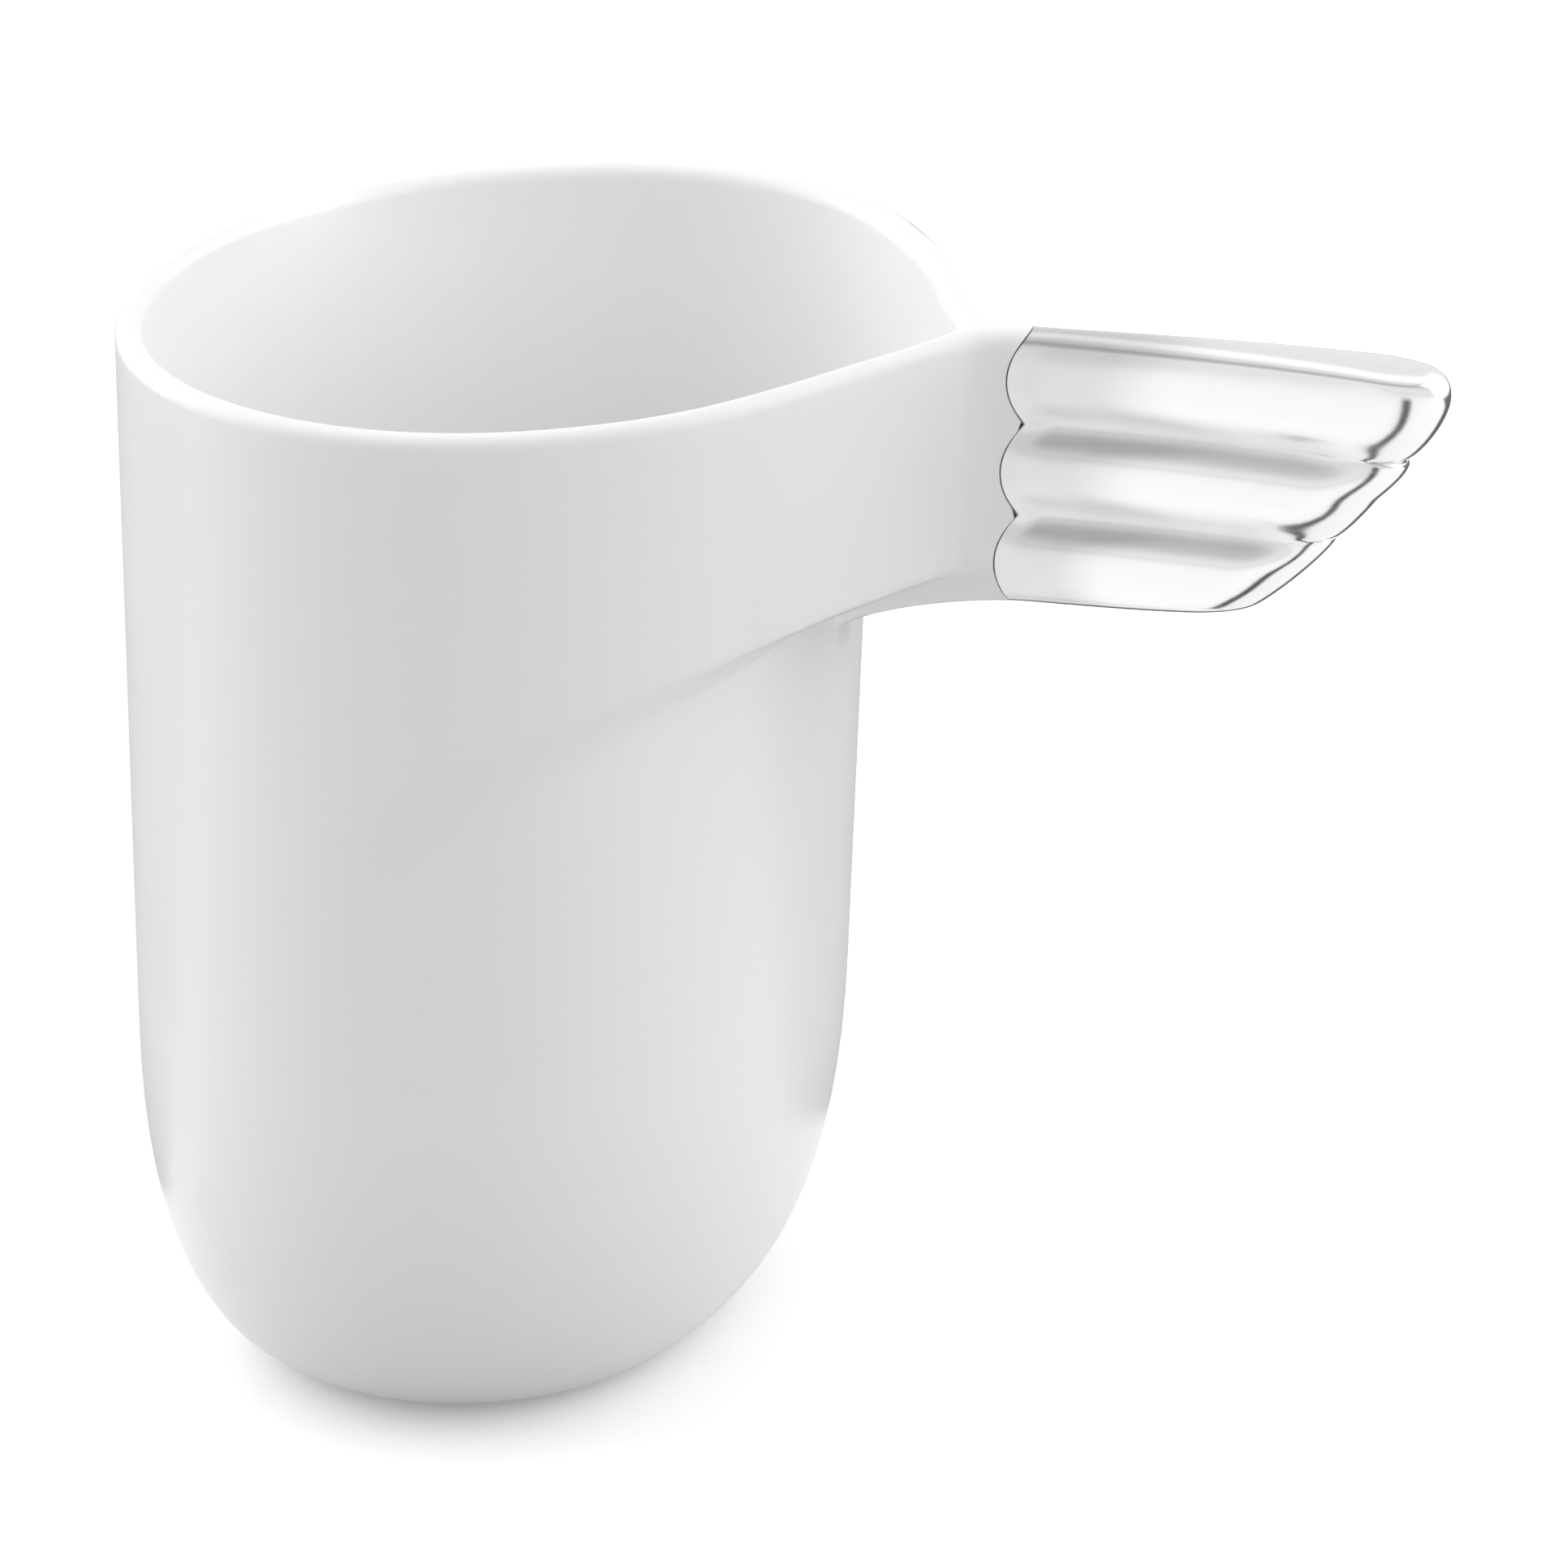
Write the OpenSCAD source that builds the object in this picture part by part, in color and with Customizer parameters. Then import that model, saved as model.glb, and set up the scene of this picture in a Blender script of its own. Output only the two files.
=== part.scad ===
// Shaving mug: a slip-cast porcelain cup whose collar is drawn out into a flat handle root,
// and a wing-shaped handle of two pressed, silver-plated half shells.
// The shells are filled, and the filler grips a tang on the end of the porcelain root.
// Origin: middle of the lower body on the surface that the mug stands on. +X runs along the handle.

/* [Cup] */
// Height of the rim above the base
cup_h = 110; // [95:1:135]
// Mean radius of the body at the rim
body_r = 39.4; // [32:0.2:47]
// How oval the body is, as a share of its mean radius
body_oval = 0.118; // [0:0.002:0.14]
// Direction of the oval's long axis, from the handle
oval_turn = 74; // [60:1:90]
// How much the wall draws in per millimetre of depth
wall_taper = 0.02; // [0:0.005:0.04]
// Thickness of the porcelain wall
wall_t = 2.7; // [2:0.1:3.4]
// Thickness of the floor
floor_t = 4; // [3:0.1:6]
// Width of the rounding between wall and base
base_round_w = 18; // [12:0.5:22]
// Height of the rounding between wall and base
base_round_h = 37; // [20:1:45]

/* [Collar] */
// How far the collar's nose reaches past the body, towards the handle
nose_reach = 12.4; // [9:0.2:15]
// Depth of the collar below the rim, at the nose
collar_h = 26.5; // [21:0.5:32]
// How much deeper the collar's lower edge lies where it fades into the body
collar_drop = 16; // [8:0.5:20]
// Height over which the collar's underside turns into the body
collar_blend = 7; // [4:0.5:10]

/* [Handle root] */
// Thickness of the flat root
root_t = 3.8; // [3.4:0.1:5]
// Distance from the nose of the collar to the seam with the wing
root_len = 2.9; // [2:0.1:6]
// Depth of the root below the rim
root_h = 28.4; // [24:0.2:33]
// How much deeper the root is where it meets the body
root_flare = 5; // [2:0.5:7]
// Softness of the hollows between collar and root
root_hollow = 2.2; // [1.2:0.1:3]

/* [Tang] */
// Length of the tang past the seam
tang_len = 10; // [7:0.5:13]
// Height of the tang
tang_h = 16; // [11:0.5:18]
// Thickness of the tang
tang_t = 1.4; // [1:0.1:1.6]

/* [Wing] */
// Length of the wing from the seam to its tip
wing_len = 43; // [36:0.5:52]
// How far the silver stands proud of the root at the seam
wing_proud = 0.2; // [0:0.05:0.4]
// Half thickness of the wing near its tip
wing_tip_half = 4.5; // [3.6:0.1:5.5]
// Thickness of the pressed shells
shell_t = 0.5; // [0.4:0.05:0.6]
// Depth of the grooves between the feathers
groove_d = 1; // [0.4:0.1:1.1]
// Length over which the wing's end is rounded
tip_round = 7.5; // [5:0.5:9]
// Radius of the wing's top and bottom edges
edge_round = 1.4; // [1:0.1:1.8]
// Depth of the scallops in the seam
seam_scallop = 2; // [1:0.1:3]

/* [Fits] */
// Width of the adhesive line at the seam
seal_w = 0.25; // [0.2:0.05:0.4]
// Gap between pieces that are bonded to each other
bond_gap = 0.02; // [0.01:0.01:0.05]

/* [Hidden] */
N_RING = 80;
FEATHERS = 3;
BASE_POWER = 2.4;
THIN = 0.05;
// Share of nose_reach by which the rim stands off the body, at each angle from the handle
RIM_SHARE = [[-180, 0], [-90, 0], [-70, 0.04], [-50, 0.18], [-35, 0.31], [-20, 0.52], [-9, 0.78], [0, 1],
    [8, 0.78], [20, 0.64], [35, 0.49], [52, 0.43], [66, 0.28], [80, 0.08], [95, -0.12], [115, -0.19],
    [135, -0.13], [160, -0.02], [180, 0]];
// Angles from the handle between which the collar's walls run straight to the nose
NOSE_NEAR = 7;
NOSE_FAR = 17;
// How deep the root starts inside the wall, and how far its sides lie under the collar's surface
ROOT_BITE = 4;
ROOT_SINK = 0.25;
// Where the wing's outline turns, as shares: depth below the rim of each feather's end, and its reach
TIP_DEPTH = [0, 0.4, 0.7, 0.96];
TIP_REACH = [0.92, 0.9, 0.755, 0.56];
TIP_BULGE = [0.08, 0.045, 0.05];
lip_r = wall_t / 2;
seam_x = body_r * oval(0) + nose_reach + root_len;
wing_root_half = root_t / 2 + wing_proud;

function mix(a, b, t) = a + (b - a) * t;
function clamp(t) = min(1, max(0, t));
function smooth(t) = let (c = clamp(t)) c * c * (3 - 2 * c);
// Quarter circle: 0 at the edge, 1 a radius away from it
function rounded(d, r) = sqrt(max(0, 1 - pow(1 - clamp(d / r), 2)));
// Larger of two values, with a soft turn between them
function soft_max(a, b, k) = b + k * ln(1 + exp(min(40, (a - b) / k)));

// Smooth curve through a table of [x, y]
function find(tab, x, i = 0) = i >= len(tab) - 2 || x < tab[i + 1][0] ? i : find(tab, x, i + 1);
function slope(tab, i) =
    i <= 0 || i >= len(tab) - 1 ? 0 : (tab[i + 1][1] - tab[i - 1][1]) / (tab[i + 1][0] - tab[i - 1][0]);
function curve(tab, x) =
    let (i = find(tab, x), w = tab[i + 1][0] - tab[i][0], t = clamp((x - tab[i][0]) / w))
    mix(tab[i][1], tab[i + 1][1], t * t * (3 - 2 * t))
    + w * (slope(tab, i) * t * pow(1 - t, 2) - slope(tab, i + 1) * t * t * (1 - t));

// --- Cup: radius of its surfaces at angle a and height z ---
function oval(a) = 1 + body_oval * cos(2 * (a - oval_turn));
function base_turn(z) =
    z >= base_round_h ? 0
    : base_round_w * (1 - pow(1 - pow((base_round_h - max(0, z)) / base_round_h, BASE_POWER), 1 / BASE_POWER));
function low_r(z) = body_r - wall_taper * (cup_h - z) - base_turn(z);
// The crease under the collar drops as it runs back, and is lowest from this angle on
CREASE_END = 96;
function crease_z(a) = cup_h - collar_h - collar_drop * pow(min(abs(a), CREASE_END) / CREASE_END, 3);
function collar_on(a, z) = smooth((z - crease_z(a)) / collar_blend + 0.5);
function bulge(a, z) = nose_reach * curve(RIM_SHARE, a) * collar_on(a, z);
function outer_r(a, z) = low_r(z) * oval(a) + bulge(a, z);
function inner_r(a, z) = (low_r(z - floor_t) - wall_t) * oval(a) + bulge(a, z);

// Angles lie closer together near the nose
NOSE_CROWDING = 25;
function ring_angle(i) = let (t = 360 * i / N_RING - 180) t - NOSE_CROWDING * sin(t);
function ring(z, grow, inside) = [for (i = [0 : N_RING - 1])
    let (a = ring_angle(i), r = (inside ? inner_r(a, z) : outer_r(a, z)) + grow) [r * cos(a), r * sin(a), z]];
function lift(pts, dz) = [for (p = pts) [p[0], p[1], p[2] + dz]];

base_steps = [0, 0.02, 0.07, 0.15, 0.26, 0.4, 0.56, 0.76, 1];
crease_top = cup_h - collar_h + collar_blend;
crease_low = cup_h - collar_h - collar_drop - collar_blend / 2;
CREASE_STEPS = 14;
ring_levels = concat([for (s = base_steps) s * base_round_h], [mix(base_round_h, crease_low, 0.5)],
    [for (i = [0 : CREASE_STEPS]) mix(crease_low, crease_top, i / CREASE_STEPS)],
    [mix(crease_top, cup_h, 0.5), cup_h - lip_r]);
lip_turns = [30, 60, 90];

// A closed solid through rings of equal length, from the bottom one to the top one
module loft(rings) {
    n = len(rings[0]);
    m = len(rings);
    polyhedron(
        points = [for (r = rings) each r],
        faces = concat(
            [[for (i = [0 : n - 1]) i]],
            [for (k = [0 : m - 2]) for (i = [0 : n - 1])
                let (j = (i + 1) % n, a = k * n + i, b = k * n + j, c = a + n, d = b + n)
                each [[a, c, b], [b, c, d]]],
            [[for (i = [n - 1 : -1 : 0]) (m - 1) * n + i]]),
        convexity = 6);
}

module cup_outside() {
    loft(concat(
        [for (z = ring_levels) ring(z, 0, false)],
        [for (t = lip_turns) lift(ring(cup_h - lip_r, -lip_r * (1 - cos(t)), false), lip_r * sin(t))]));
}

module cup_inside() {
    loft(concat(
        [for (z = ring_levels) if (z < cup_h - lip_r - floor_t) ring(z + floor_t, 0, true)],
        [ring(cup_h - lip_r, 0, true)],
        [for (t = lip_turns) lift(ring(cup_h - lip_r, lip_r * (1 - cos(t)), true), lip_r * sin(t))],
        [lift(ring(cup_h - lip_r, lip_r, true), lip_r + 1)]));
}

// --- Flat pieces: a grid of points on the front, its twin on the back, and a strip round the edge ---
module slab(front, back) {
    nu = len(front);
    nv = len(front[0]);
    half = nu * nv;
    function at(i, j) = i * nv + j;
    quads = [for (i = [0 : nu - 2]) for (j = [0 : nv - 2])
        [at(i, j), at(i, j + 1), at(i + 1, j + 1), at(i + 1, j)]];
    loop = concat([for (i = [0 : nu - 2]) at(i, 0)], [for (j = [0 : nv - 2]) at(nu - 1, j)],
        [for (i = [nu - 1 : -1 : 1]) at(i, nv - 1)], [for (j = [nv - 1 : -1 : 1]) at(0, j)]);
    polyhedron(
        points = concat([for (col = front) each col], [for (col = back) each col]),
        faces = concat(
            [for (q = quads) each [[q[0], q[2], q[1]], [q[0], q[3], q[2]]]],
            [for (q = quads) each [[half + q[0], half + q[1], half + q[2]], [half + q[0], half + q[2], half + q[3]]]],
            [for (k = [0 : len(loop) - 1]) let (a = loop[k], b = loop[(k + 1) % len(loop)])
                each [[a, half + a, b], [b, half + a, half + b]]]),
        convexity = 6);
}

// Position within a feather: -1 and 1 at its edges, 0 along its middle
function in_feather(v) = let (f = v * FEATHERS) 2 * (f - min(FEATHERS - 1, floor(f))) - 1;
function feather_no(v) = min(FEATHERS - 1, floor(v * FEATHERS));
// The seam at depth share v: a scallop for each feather
function seam(v) = seam_x - v + seam_scallop * pow(in_feather(v), 2);
function tip_mix(tab, v) = let (k = feather_no(v)) mix(tab[k], tab[k + 1], (in_feather(v) + 1) / 2);
function tip_x(v) = seam_x + wing_len
    * (tip_mix(TIP_REACH, v) + TIP_BULGE[feather_no(v)] * sqrt(max(0, 1 - pow(in_feather(v), 2))));

// --- Seam: the outline at which porcelain ends and silver starts, shared by every piece that meets there ---
feather_vs = [0, 0.06, 0.16, 0.3, 0.5, 0.7, 0.84, 0.94];
wing_vs = concat([for (k = [0 : FEATHERS - 1]) for (f = feather_vs) (k + f) / FEATHERS], [1]);
SEAM_MARGIN = 4;
// Everything on the wing's side of the seam, or on the cup's side, with the seam moved by shift
module seam_side(shift, wing_side) {
    line = [for (v = wing_vs) [seam(v) + shift, cup_h - v * root_h]];
    far = wing_side ? seam_x + 2 * wing_len : 0;
    translate([0, body_r, 0])
        rotate([90, 0, 0])
            linear_extrude(2 * body_r)
                polygon(concat([[far, cup_h + SEAM_MARGIN], [line[0][0], cup_h + SEAM_MARGIN]], line,
                    [[line[len(line) - 1][0], cup_h / 2], [far, cup_h / 2]]));
}

// --- Handle root ---
root_us = [0, 0.12, 0.24, 0.36, 0.48, 0.6, 0.74, 1];
root_vs = [0, 0.004, 0.012, 0.025, 0.045, 0.07, 0.2, 0.35, 0.5, 0.6, 0.66, 0.71, 0.75, 0.79, 0.83, 0.87, 0.9,
    0.93, 0.955, 0.975, 0.988, 0.996, 1];
function root_depth(u) = root_h + root_flare * pow(1 - u, 2);
function root_edge(u, v) =
    let (d = min(v, 1 - v) * root_depth(u)) (root_t / 2 - THIN) * (1 - rounded(d, root_t / 2));
// The straight wall beside the nose, on side s: where it meets the handle's axis, and its slope
function wall_point(a) = let (r = outer_r(a, cup_h)) [r * cos(a), r * abs(sin(a))];
function nose_wall(s) =
    let (p = wall_point(s * NOSE_NEAR), q = wall_point(s * NOSE_FAR), rise = q[1] - p[1],
        m = rise / max(rise / 4, p[0] - q[0]))
    [p[0] + p[1] / m - ROOT_SINK, m];
nose_walls = [nose_wall(-1), nose_wall(1)];
function root_side(x, z, s) =
    let (w = nose_walls[(s + 1) / 2], reach = w[0] - outer_r(0, cup_h) + outer_r(0, z))
    soft_max((reach - x) * w[1], root_t / 2, root_hollow);
function root_point(u, v, s) =
    let (z = cup_h - v * root_depth(u),
        x = mix(outer_r(0, cup_h - v * root_depth(0)) - ROOT_BITE, seam_x + SEAM_MARGIN, u))
    [x, s * (root_side(x, z, s) - root_edge(u, v)), z];

module root_form() {
    slab([for (u = root_us) [for (v = root_vs) root_point(u, v, -1)]],
        [for (u = root_us) [for (v = root_vs) root_point(u, v, 1)]]);
}

// The tang starts inside the root, behind the deepest scallop
TANG_BITE = 3;
module tang() {
    translate([seam_x - TANG_BITE, -tang_t / 2, cup_h - root_h / 2 - tang_h / 2])
        cube([TANG_BITE + tang_len, tang_t, tang_h]);
}

module cup() {
    color("white") {
        difference() {
            union() {
                cup_outside();
                root_form();
            }
            cup_inside();
            seam_side(-seal_w, true);
        }
        tang();
    }
}

// --- Wing ---
wing_us = [0, 0.02, 0.05, 0.1, 0.2, 0.32, 0.45, 0.58, 0.7, 0.79, 0.86, 0.91, 0.95, 0.98, 0.995, 1];
// Share of the full groove depth at the seam, and along the wing's top and bottom edges
GROOVE_AT_SEAM = 0.45;
GROOVE_AT_EDGE = 0.35;
// Half thickness of the wing before its edges are rounded, at length share s and depth share v
function wing_half(s, v) =
    let (grow = smooth(s / 0.08) * (1 - smooth((s - 0.7) / 0.3)),
        at_edge = min(v, 1 - v) < 0.5 / FEATHERS,
        depth = groove_d * (at_edge ? GROOVE_AT_EDGE : 1) * mix(GROOVE_AT_SEAM, 1, grow))
    mix(wing_root_half, wing_tip_half, pow(s, 1.25)) - depth * pow(abs(in_feather(v)), 2.4);
// Rounding towards the wing's outline
function wing_round(x, v) =
    rounded(min(v, 1 - v) * root_h + THIN, edge_round) * rounded(tip_x(v) - x + THIN, tip_round);
// A form that lies inset below the wing's surface also runs on past the seam, to be cut there
function wing_point(u, v, inset, side) =
    let (x = mix(seam(v) - (inset > 0 ? SEAM_MARGIN : 0), tip_x(v) - inset, u),
        s = clamp((x - seam(v)) / (tip_x(v) - seam(v))),
        depth = mix(v, tip_mix(TIP_DEPTH, v), pow(s, 3)),
        half = wing_half(s, v) * wing_round(x + inset, v) - inset)
    [x, side * max(THIN, half), cup_h - mix(inset, root_h - inset, depth)];

module wing_body(inset) {
    slab([for (u = wing_us) [for (v = wing_vs) wing_point(u, v, inset, -1)]],
        [for (u = wing_us) [for (v = wing_vs) wing_point(u, v, inset, 1)]]);
}

// The front half is mirrored to make the back half
module wing_shell() {
    difference() {
        wing_body(0);
        wing_body(shell_t);
        cube([3 * cup_h, 3 * body_r, 2 * cup_h]);
    }
}

module wing_front_shell() {
    color("silver") wing_shell();
}

module wing_back_shell() {
    color("silver") mirror([0, 1, 0]) wing_shell();
}

module wing_filler() {
    color("dimgray") difference() {
        wing_body(shell_t + bond_gap);
        seam_side(bond_gap, false);
        tang();
    }
}

// The seal is the slice of the root's form between porcelain and silver, a hair clear of both
module joint_seal() {
    color("gray") difference() {
        root_form();
        seam_side(bond_gap - seal_w, false);
        seam_side(-bond_gap, true);
        tang();
    }
}

cup();
wing_front_shell();
wing_back_shell();
wing_filler();
joint_seal();
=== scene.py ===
"""Shaving mug: a glazed porcelain cup whose collar is drawn out into a flat root, with a silver wing on it.

Laid out as a Blender add-on. Run as a script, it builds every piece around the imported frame.
Lengths are in metres. The origin is the middle of the cup's foot, and +X runs along the handle.
"""

import math

import bmesh
import bpy
import numpy as np
from bpy.props import FloatProperty, FloatVectorProperty, PointerProperty
from mathutils import Matrix, Vector


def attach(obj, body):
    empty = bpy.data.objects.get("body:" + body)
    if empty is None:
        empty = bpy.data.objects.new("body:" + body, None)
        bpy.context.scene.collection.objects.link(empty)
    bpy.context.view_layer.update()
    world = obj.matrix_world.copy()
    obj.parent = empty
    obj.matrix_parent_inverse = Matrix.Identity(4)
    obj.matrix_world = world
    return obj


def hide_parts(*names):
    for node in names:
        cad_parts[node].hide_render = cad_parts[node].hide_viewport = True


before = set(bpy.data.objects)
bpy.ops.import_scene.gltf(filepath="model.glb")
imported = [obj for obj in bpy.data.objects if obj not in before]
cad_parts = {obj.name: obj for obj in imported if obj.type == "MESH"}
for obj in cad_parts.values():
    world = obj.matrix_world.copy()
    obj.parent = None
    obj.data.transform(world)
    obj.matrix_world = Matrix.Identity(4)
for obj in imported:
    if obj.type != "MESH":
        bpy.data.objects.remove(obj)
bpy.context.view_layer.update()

bl_info = {
    "name": "Winged Shaving Mug",
    "version": (1, 0, 0),
    "blender": (4, 5, 0),
    "location": "View3D > Sidebar > Shaving Mug",
    "description": "Builds a porcelain shaving mug with a silver wing for a handle",
    "category": "Object",
}

MM = 0.001


# --- Sizes and colours ---


def linear(code):
    """Linear colour of an sRGB hex code."""
    parts = [int(code[i : i + 2], 16) / 255 for i in (0, 2, 4)]
    return tuple(p / 12.92 if p <= 0.04045 else ((p + 0.055) / 1.055) ** 2.4 for p in parts)


def length(name, description, millimetres):
    default = millimetres * MM
    return FloatProperty(name=name, description=description, default=default, unit="LENGTH", precision=5)


def number(name, description, default):
    return FloatProperty(name=name, description=description, default=default)


def colour(name, description, code):
    return FloatVectorProperty(
        name=name, description=description, default=linear(code), subtype="COLOR", min=0, max=1, size=3
    )


class MugCupSettings(bpy.types.PropertyGroup):
    """Sizes and colours of the porcelain cup."""

    height: length("Height", "Height of the rim above the foot", 110)
    body_radius: length("Body radius", "Mean radius of the body at the rim", 39.4)
    body_oval: number("Oval", "How oval the body is, as a share of its radius", 0.118)
    oval_turn: FloatProperty(
        name="Oval direction",
        description="Direction of the oval's long axis from the handle",
        default=math.radians(74),
        subtype="ANGLE",
    )
    wall_taper: number("Taper", "How much the wall draws in towards the foot, as a slope", 0.02)
    wall: length("Wall", "Thickness of the wall", 2.7)
    floor: length("Floor", "Thickness of the floor", 4)
    base_round_width: length("Base rounding width", "Width of the rounding between wall and foot", 18)
    base_round_height: length("Base rounding height", "Height of the rounding between wall and foot", 37)
    foot_width: length("Foot ring", "Width of the unglazed foot ring", 3)
    foot_recess: length("Foot recess", "Depth of the hollow inside the foot ring", 1)
    nose_reach: length("Nose reach", "How far the collar's nose reaches past the body", 12.4)
    collar_height: length("Collar", "Depth of the collar below the rim at the nose", 26.5)
    collar_drop: length("Collar drop", "How much deeper the collar's lower edge lies where it fades", 16)
    collar_blend: length("Collar blend", "Height over which the collar turns in below, at the nose", 4)
    collar_tuck: length("Collar tuck", "How far the body is drawn in under the front of the collar", 1.1)
    root_thickness: length("Root thickness", "Thickness of the flat handle root", 3.8)
    root_length: length("Root length", "Distance from the nose to the seam", 2.9)
    root_height: length("Root height", "Depth of the root below the rim", 28.4)
    root_flare: length("Root flare", "How much deeper the root is where it meets the body", 5)
    root_hollow: length("Root hollow", "Softness of the hollows between collar and root", 2.2)
    root_fillet: length("Root fillet", "Softness of the line where the root meets the body", 1.6)
    seal: length("Seal", "Width of the adhesive line at the seam", 0.16)
    seal_inset: length("Seal inset", "How far the adhesive lies below the porcelain", 0.12)
    tang_length: length("Tang length", "Length of the tang past the seam", 10)
    tang_height: length("Tang height", "Height of the tang", 16)
    tang_thickness: length("Tang thickness", "Thickness of the tang", 1.4)
    glaze_colour: colour("Glaze", "Colour of the glazed porcelain", "F8F8F7")
    pooled_colour: colour("Pooled glaze", "Colour of the glaze where it lies thicker", "F4F5F4")
    speck_colour: colour("Specks", "Colour of the iron specks in the glaze", "8A7F70")
    foot_colour: colour("Unglazed foot", "Colour of the bare fired clay", "DDD6C9")
    seal_colour: colour("Adhesive", "Colour of the adhesive line", "8E8D89")


class MugWingSettings(bpy.types.PropertyGroup):
    """Sizes and colours of the silver wing."""

    wing_length: length("Length", "Length of the wing from the seam to its tip", 43)
    proud: length("Proud", "How far the silver stands proud of the root at the seam", 0.2)
    tip_half: length("Tip half thickness", "Half thickness of the wing near its tip", 4.5)
    shell: length("Shell", "Thickness of the pressed shells", 0.5)
    groove: length("Grooves", "Depth of the grooves between the feathers", 1)
    tip_round: length("Tip rounding", "Length over which the wing's end is rounded", 7.5)
    edge_round: length("Edge rounding", "Radius of the wing's top and bottom edges", 1.4)
    scallop: length("Scallops", "Depth of the scallops in the seam", 2)
    silver_colour: colour("Silver", "Colour of the polished silver plate", "E6E6E6")
    # Colour of the tarnish in the grooves, also used as painted shade in the grooves and along the seam
    tarnish_and_shade_colour: colour("Tarnish and shade", "Colour of the silver deep in the grooves", "C6C6C5")
    filler_colour: colour("Filler", "Colour of the resin inside the wing", "6A6259")


class MugStageSettings(bpy.types.PropertyGroup):
    """Camera, floor and light."""

    lens: number("Lens", "Focal length on a 36 mm sensor, in millimetres", 172.6)
    floor_colour: colour("Floor", "Colour of the light the floor throws back", "C4C4C4")
    floor_size: length("Floor size", "Width of the floor", 6000)
    top_power: number("Top light", "Power of the softbox overhead, in watts", 3.0)
    left_power: number("Left light", "Power of the softbox on the left, in watts", 16.0)
    right_power: number("Right light", "Power of the softbox on the right, in watts", 12.0)
    mouth_power: number("Mouth light", "Power of the lamp over the mouth, in watts", 0.0025)
    fill: number("Fill", "Brightness of the light from all round", 0.58)
    glow: number("Paper glow", "Brightness added to the paper where it is seen", 0.2)


# --- Shape of the porcelain ---

FEATHERS = 3
BASE_POWER = 2.4
CREASE_FADE = math.radians(96)
# Behind the crease's end the collar fades into the body, over this angle and this much more height
BACK_FADE = math.radians(25)
BACK_BLEND = 14 * MM
# Share of the nose's reach by which the rim stands off the body, at each angle in degrees from the handle
RIM_SHARE = (
    (-180, 0), (-90, 0), (-70, 0.04), (-50, 0.18), (-35, 0.31), (-20, 0.52), (-9, 0.78), (0, 1),
    (8, 0.78), (20, 0.64), (35, 0.49), (52, 0.43), (66, 0.28), (80, 0.08), (95, -0.12), (115, -0.19),
    (135, -0.13), (160, -0.02), (180, 0),
)
# Spread, in degrees, of the soft average that rounds off the table's corners
RIM_SOFTNESS = 2.5
# Angles from the handle between which the collar's walls run straight to the nose
NOSE_NEAR, NOSE_FAR = math.radians(7), math.radians(17)
# Angles in degrees where the tuck under the collar starts, and over which it fades in and out
TUCK_ENDS, TUCK_FADES = (-102, -52), (20, 36)
# Height over which the tuck fades down the body
TUCK_DEPTH = 22 * MM
# The root starts this far inside the body, its bottom edge levels out this far past the seam, and its walls
# lie this far behind the collar's
ROOT_BITE = 4 * MM
ROOT_RUN = 4 * MM
ROOT_SINK = 0.25 * MM
# The straight walls beside the nose spread at this slope at the most
STEEPEST_WALL = 4
# The seam leans back to the cup by this much from top to bottom
SEAM_LEAN = MM
# Shares of the way to the seam at which the top edge starts to thicken, and over which it does
EDGE_THICKENS, EDGE_THICKENS_OVER = 0.84, 0.16
# Past this far back from the nose, the straight walls beside it sink into the body at this slope
WALL_RUN, WALL_SINK = 9 * MM, 0.12


def mix(a, b, t):
    return a + (b - a) * t


def smooth(t):
    t = np.clip(t, 0, 1)
    return t * t * (3 - 2 * t)


def soft_curve(table, x):
    """Smooth curve through a table of (x, y)."""
    xs, ys = np.array(table, float).T
    slopes = np.zeros(len(xs))
    slopes[1:-1] = (ys[2:] - ys[:-2]) / (xs[2:] - xs[:-2])
    i = np.clip(np.searchsorted(xs, x, side="right") - 1, 0, len(xs) - 2)
    wide = xs[i + 1] - xs[i]
    t = np.clip((x - xs[i]) / wide, 0, 1)
    bend = slopes[i] * t * (1 - t) ** 2 - slopes[i + 1] * t * t * (1 - t)
    return mix(ys[i], ys[i + 1], t * t * (3 - 2 * t)) + wide * bend


def softened_rim():
    """The rim's table at every half degree, with its corners rounded off."""
    angles = np.arange(-180, 180, 0.5)
    share = soft_curve(RIM_SHARE, angles)
    reach = np.arange(-40, 41)
    weight = np.exp(-((reach * 0.5 / RIM_SOFTNESS) ** 2) / 2)
    around = np.concatenate([share[-40:], share, share[:40]])
    return angles, np.convolve(around, weight / weight.sum(), mode="valid")


RIM_ANGLES, RIM_REACH = softened_rim()


def rim_share(angle):
    return np.interp(np.degrees(angle), RIM_ANGLES, RIM_REACH, period=360)


def oval(s, angle):
    return 1 + s.body_oval * np.cos(2 * (angle - s.oval_turn))


def base_turn(s, z):
    """How far the wall has drawn in at height z, in the rounding above the foot."""
    depth = np.clip(1 - z / s.base_round_height, 0, 1)
    return s.base_round_width * (1 - (1 - depth**BASE_POWER) ** (1 / BASE_POWER))


def low_radius(s, z):
    return s.body_radius - s.wall_taper * (s.height - z) - base_turn(s, z)


def crease_height(s, angle):
    share = np.minimum(np.abs(angle), CREASE_FADE) / CREASE_FADE
    return s.height - s.collar_height - s.collar_drop * share**3


def crease_blend(s, angle):
    """Height over which the collar turns in below: sharp at the nose, soft where the crease fades."""
    share = np.minimum(np.abs(angle), CREASE_FADE) / CREASE_FADE
    behind = smooth((np.abs(angle) - CREASE_FADE) / BACK_FADE)
    return s.collar_blend * (1 + 1.5 * share**2) + BACK_BLEND * behind


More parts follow.
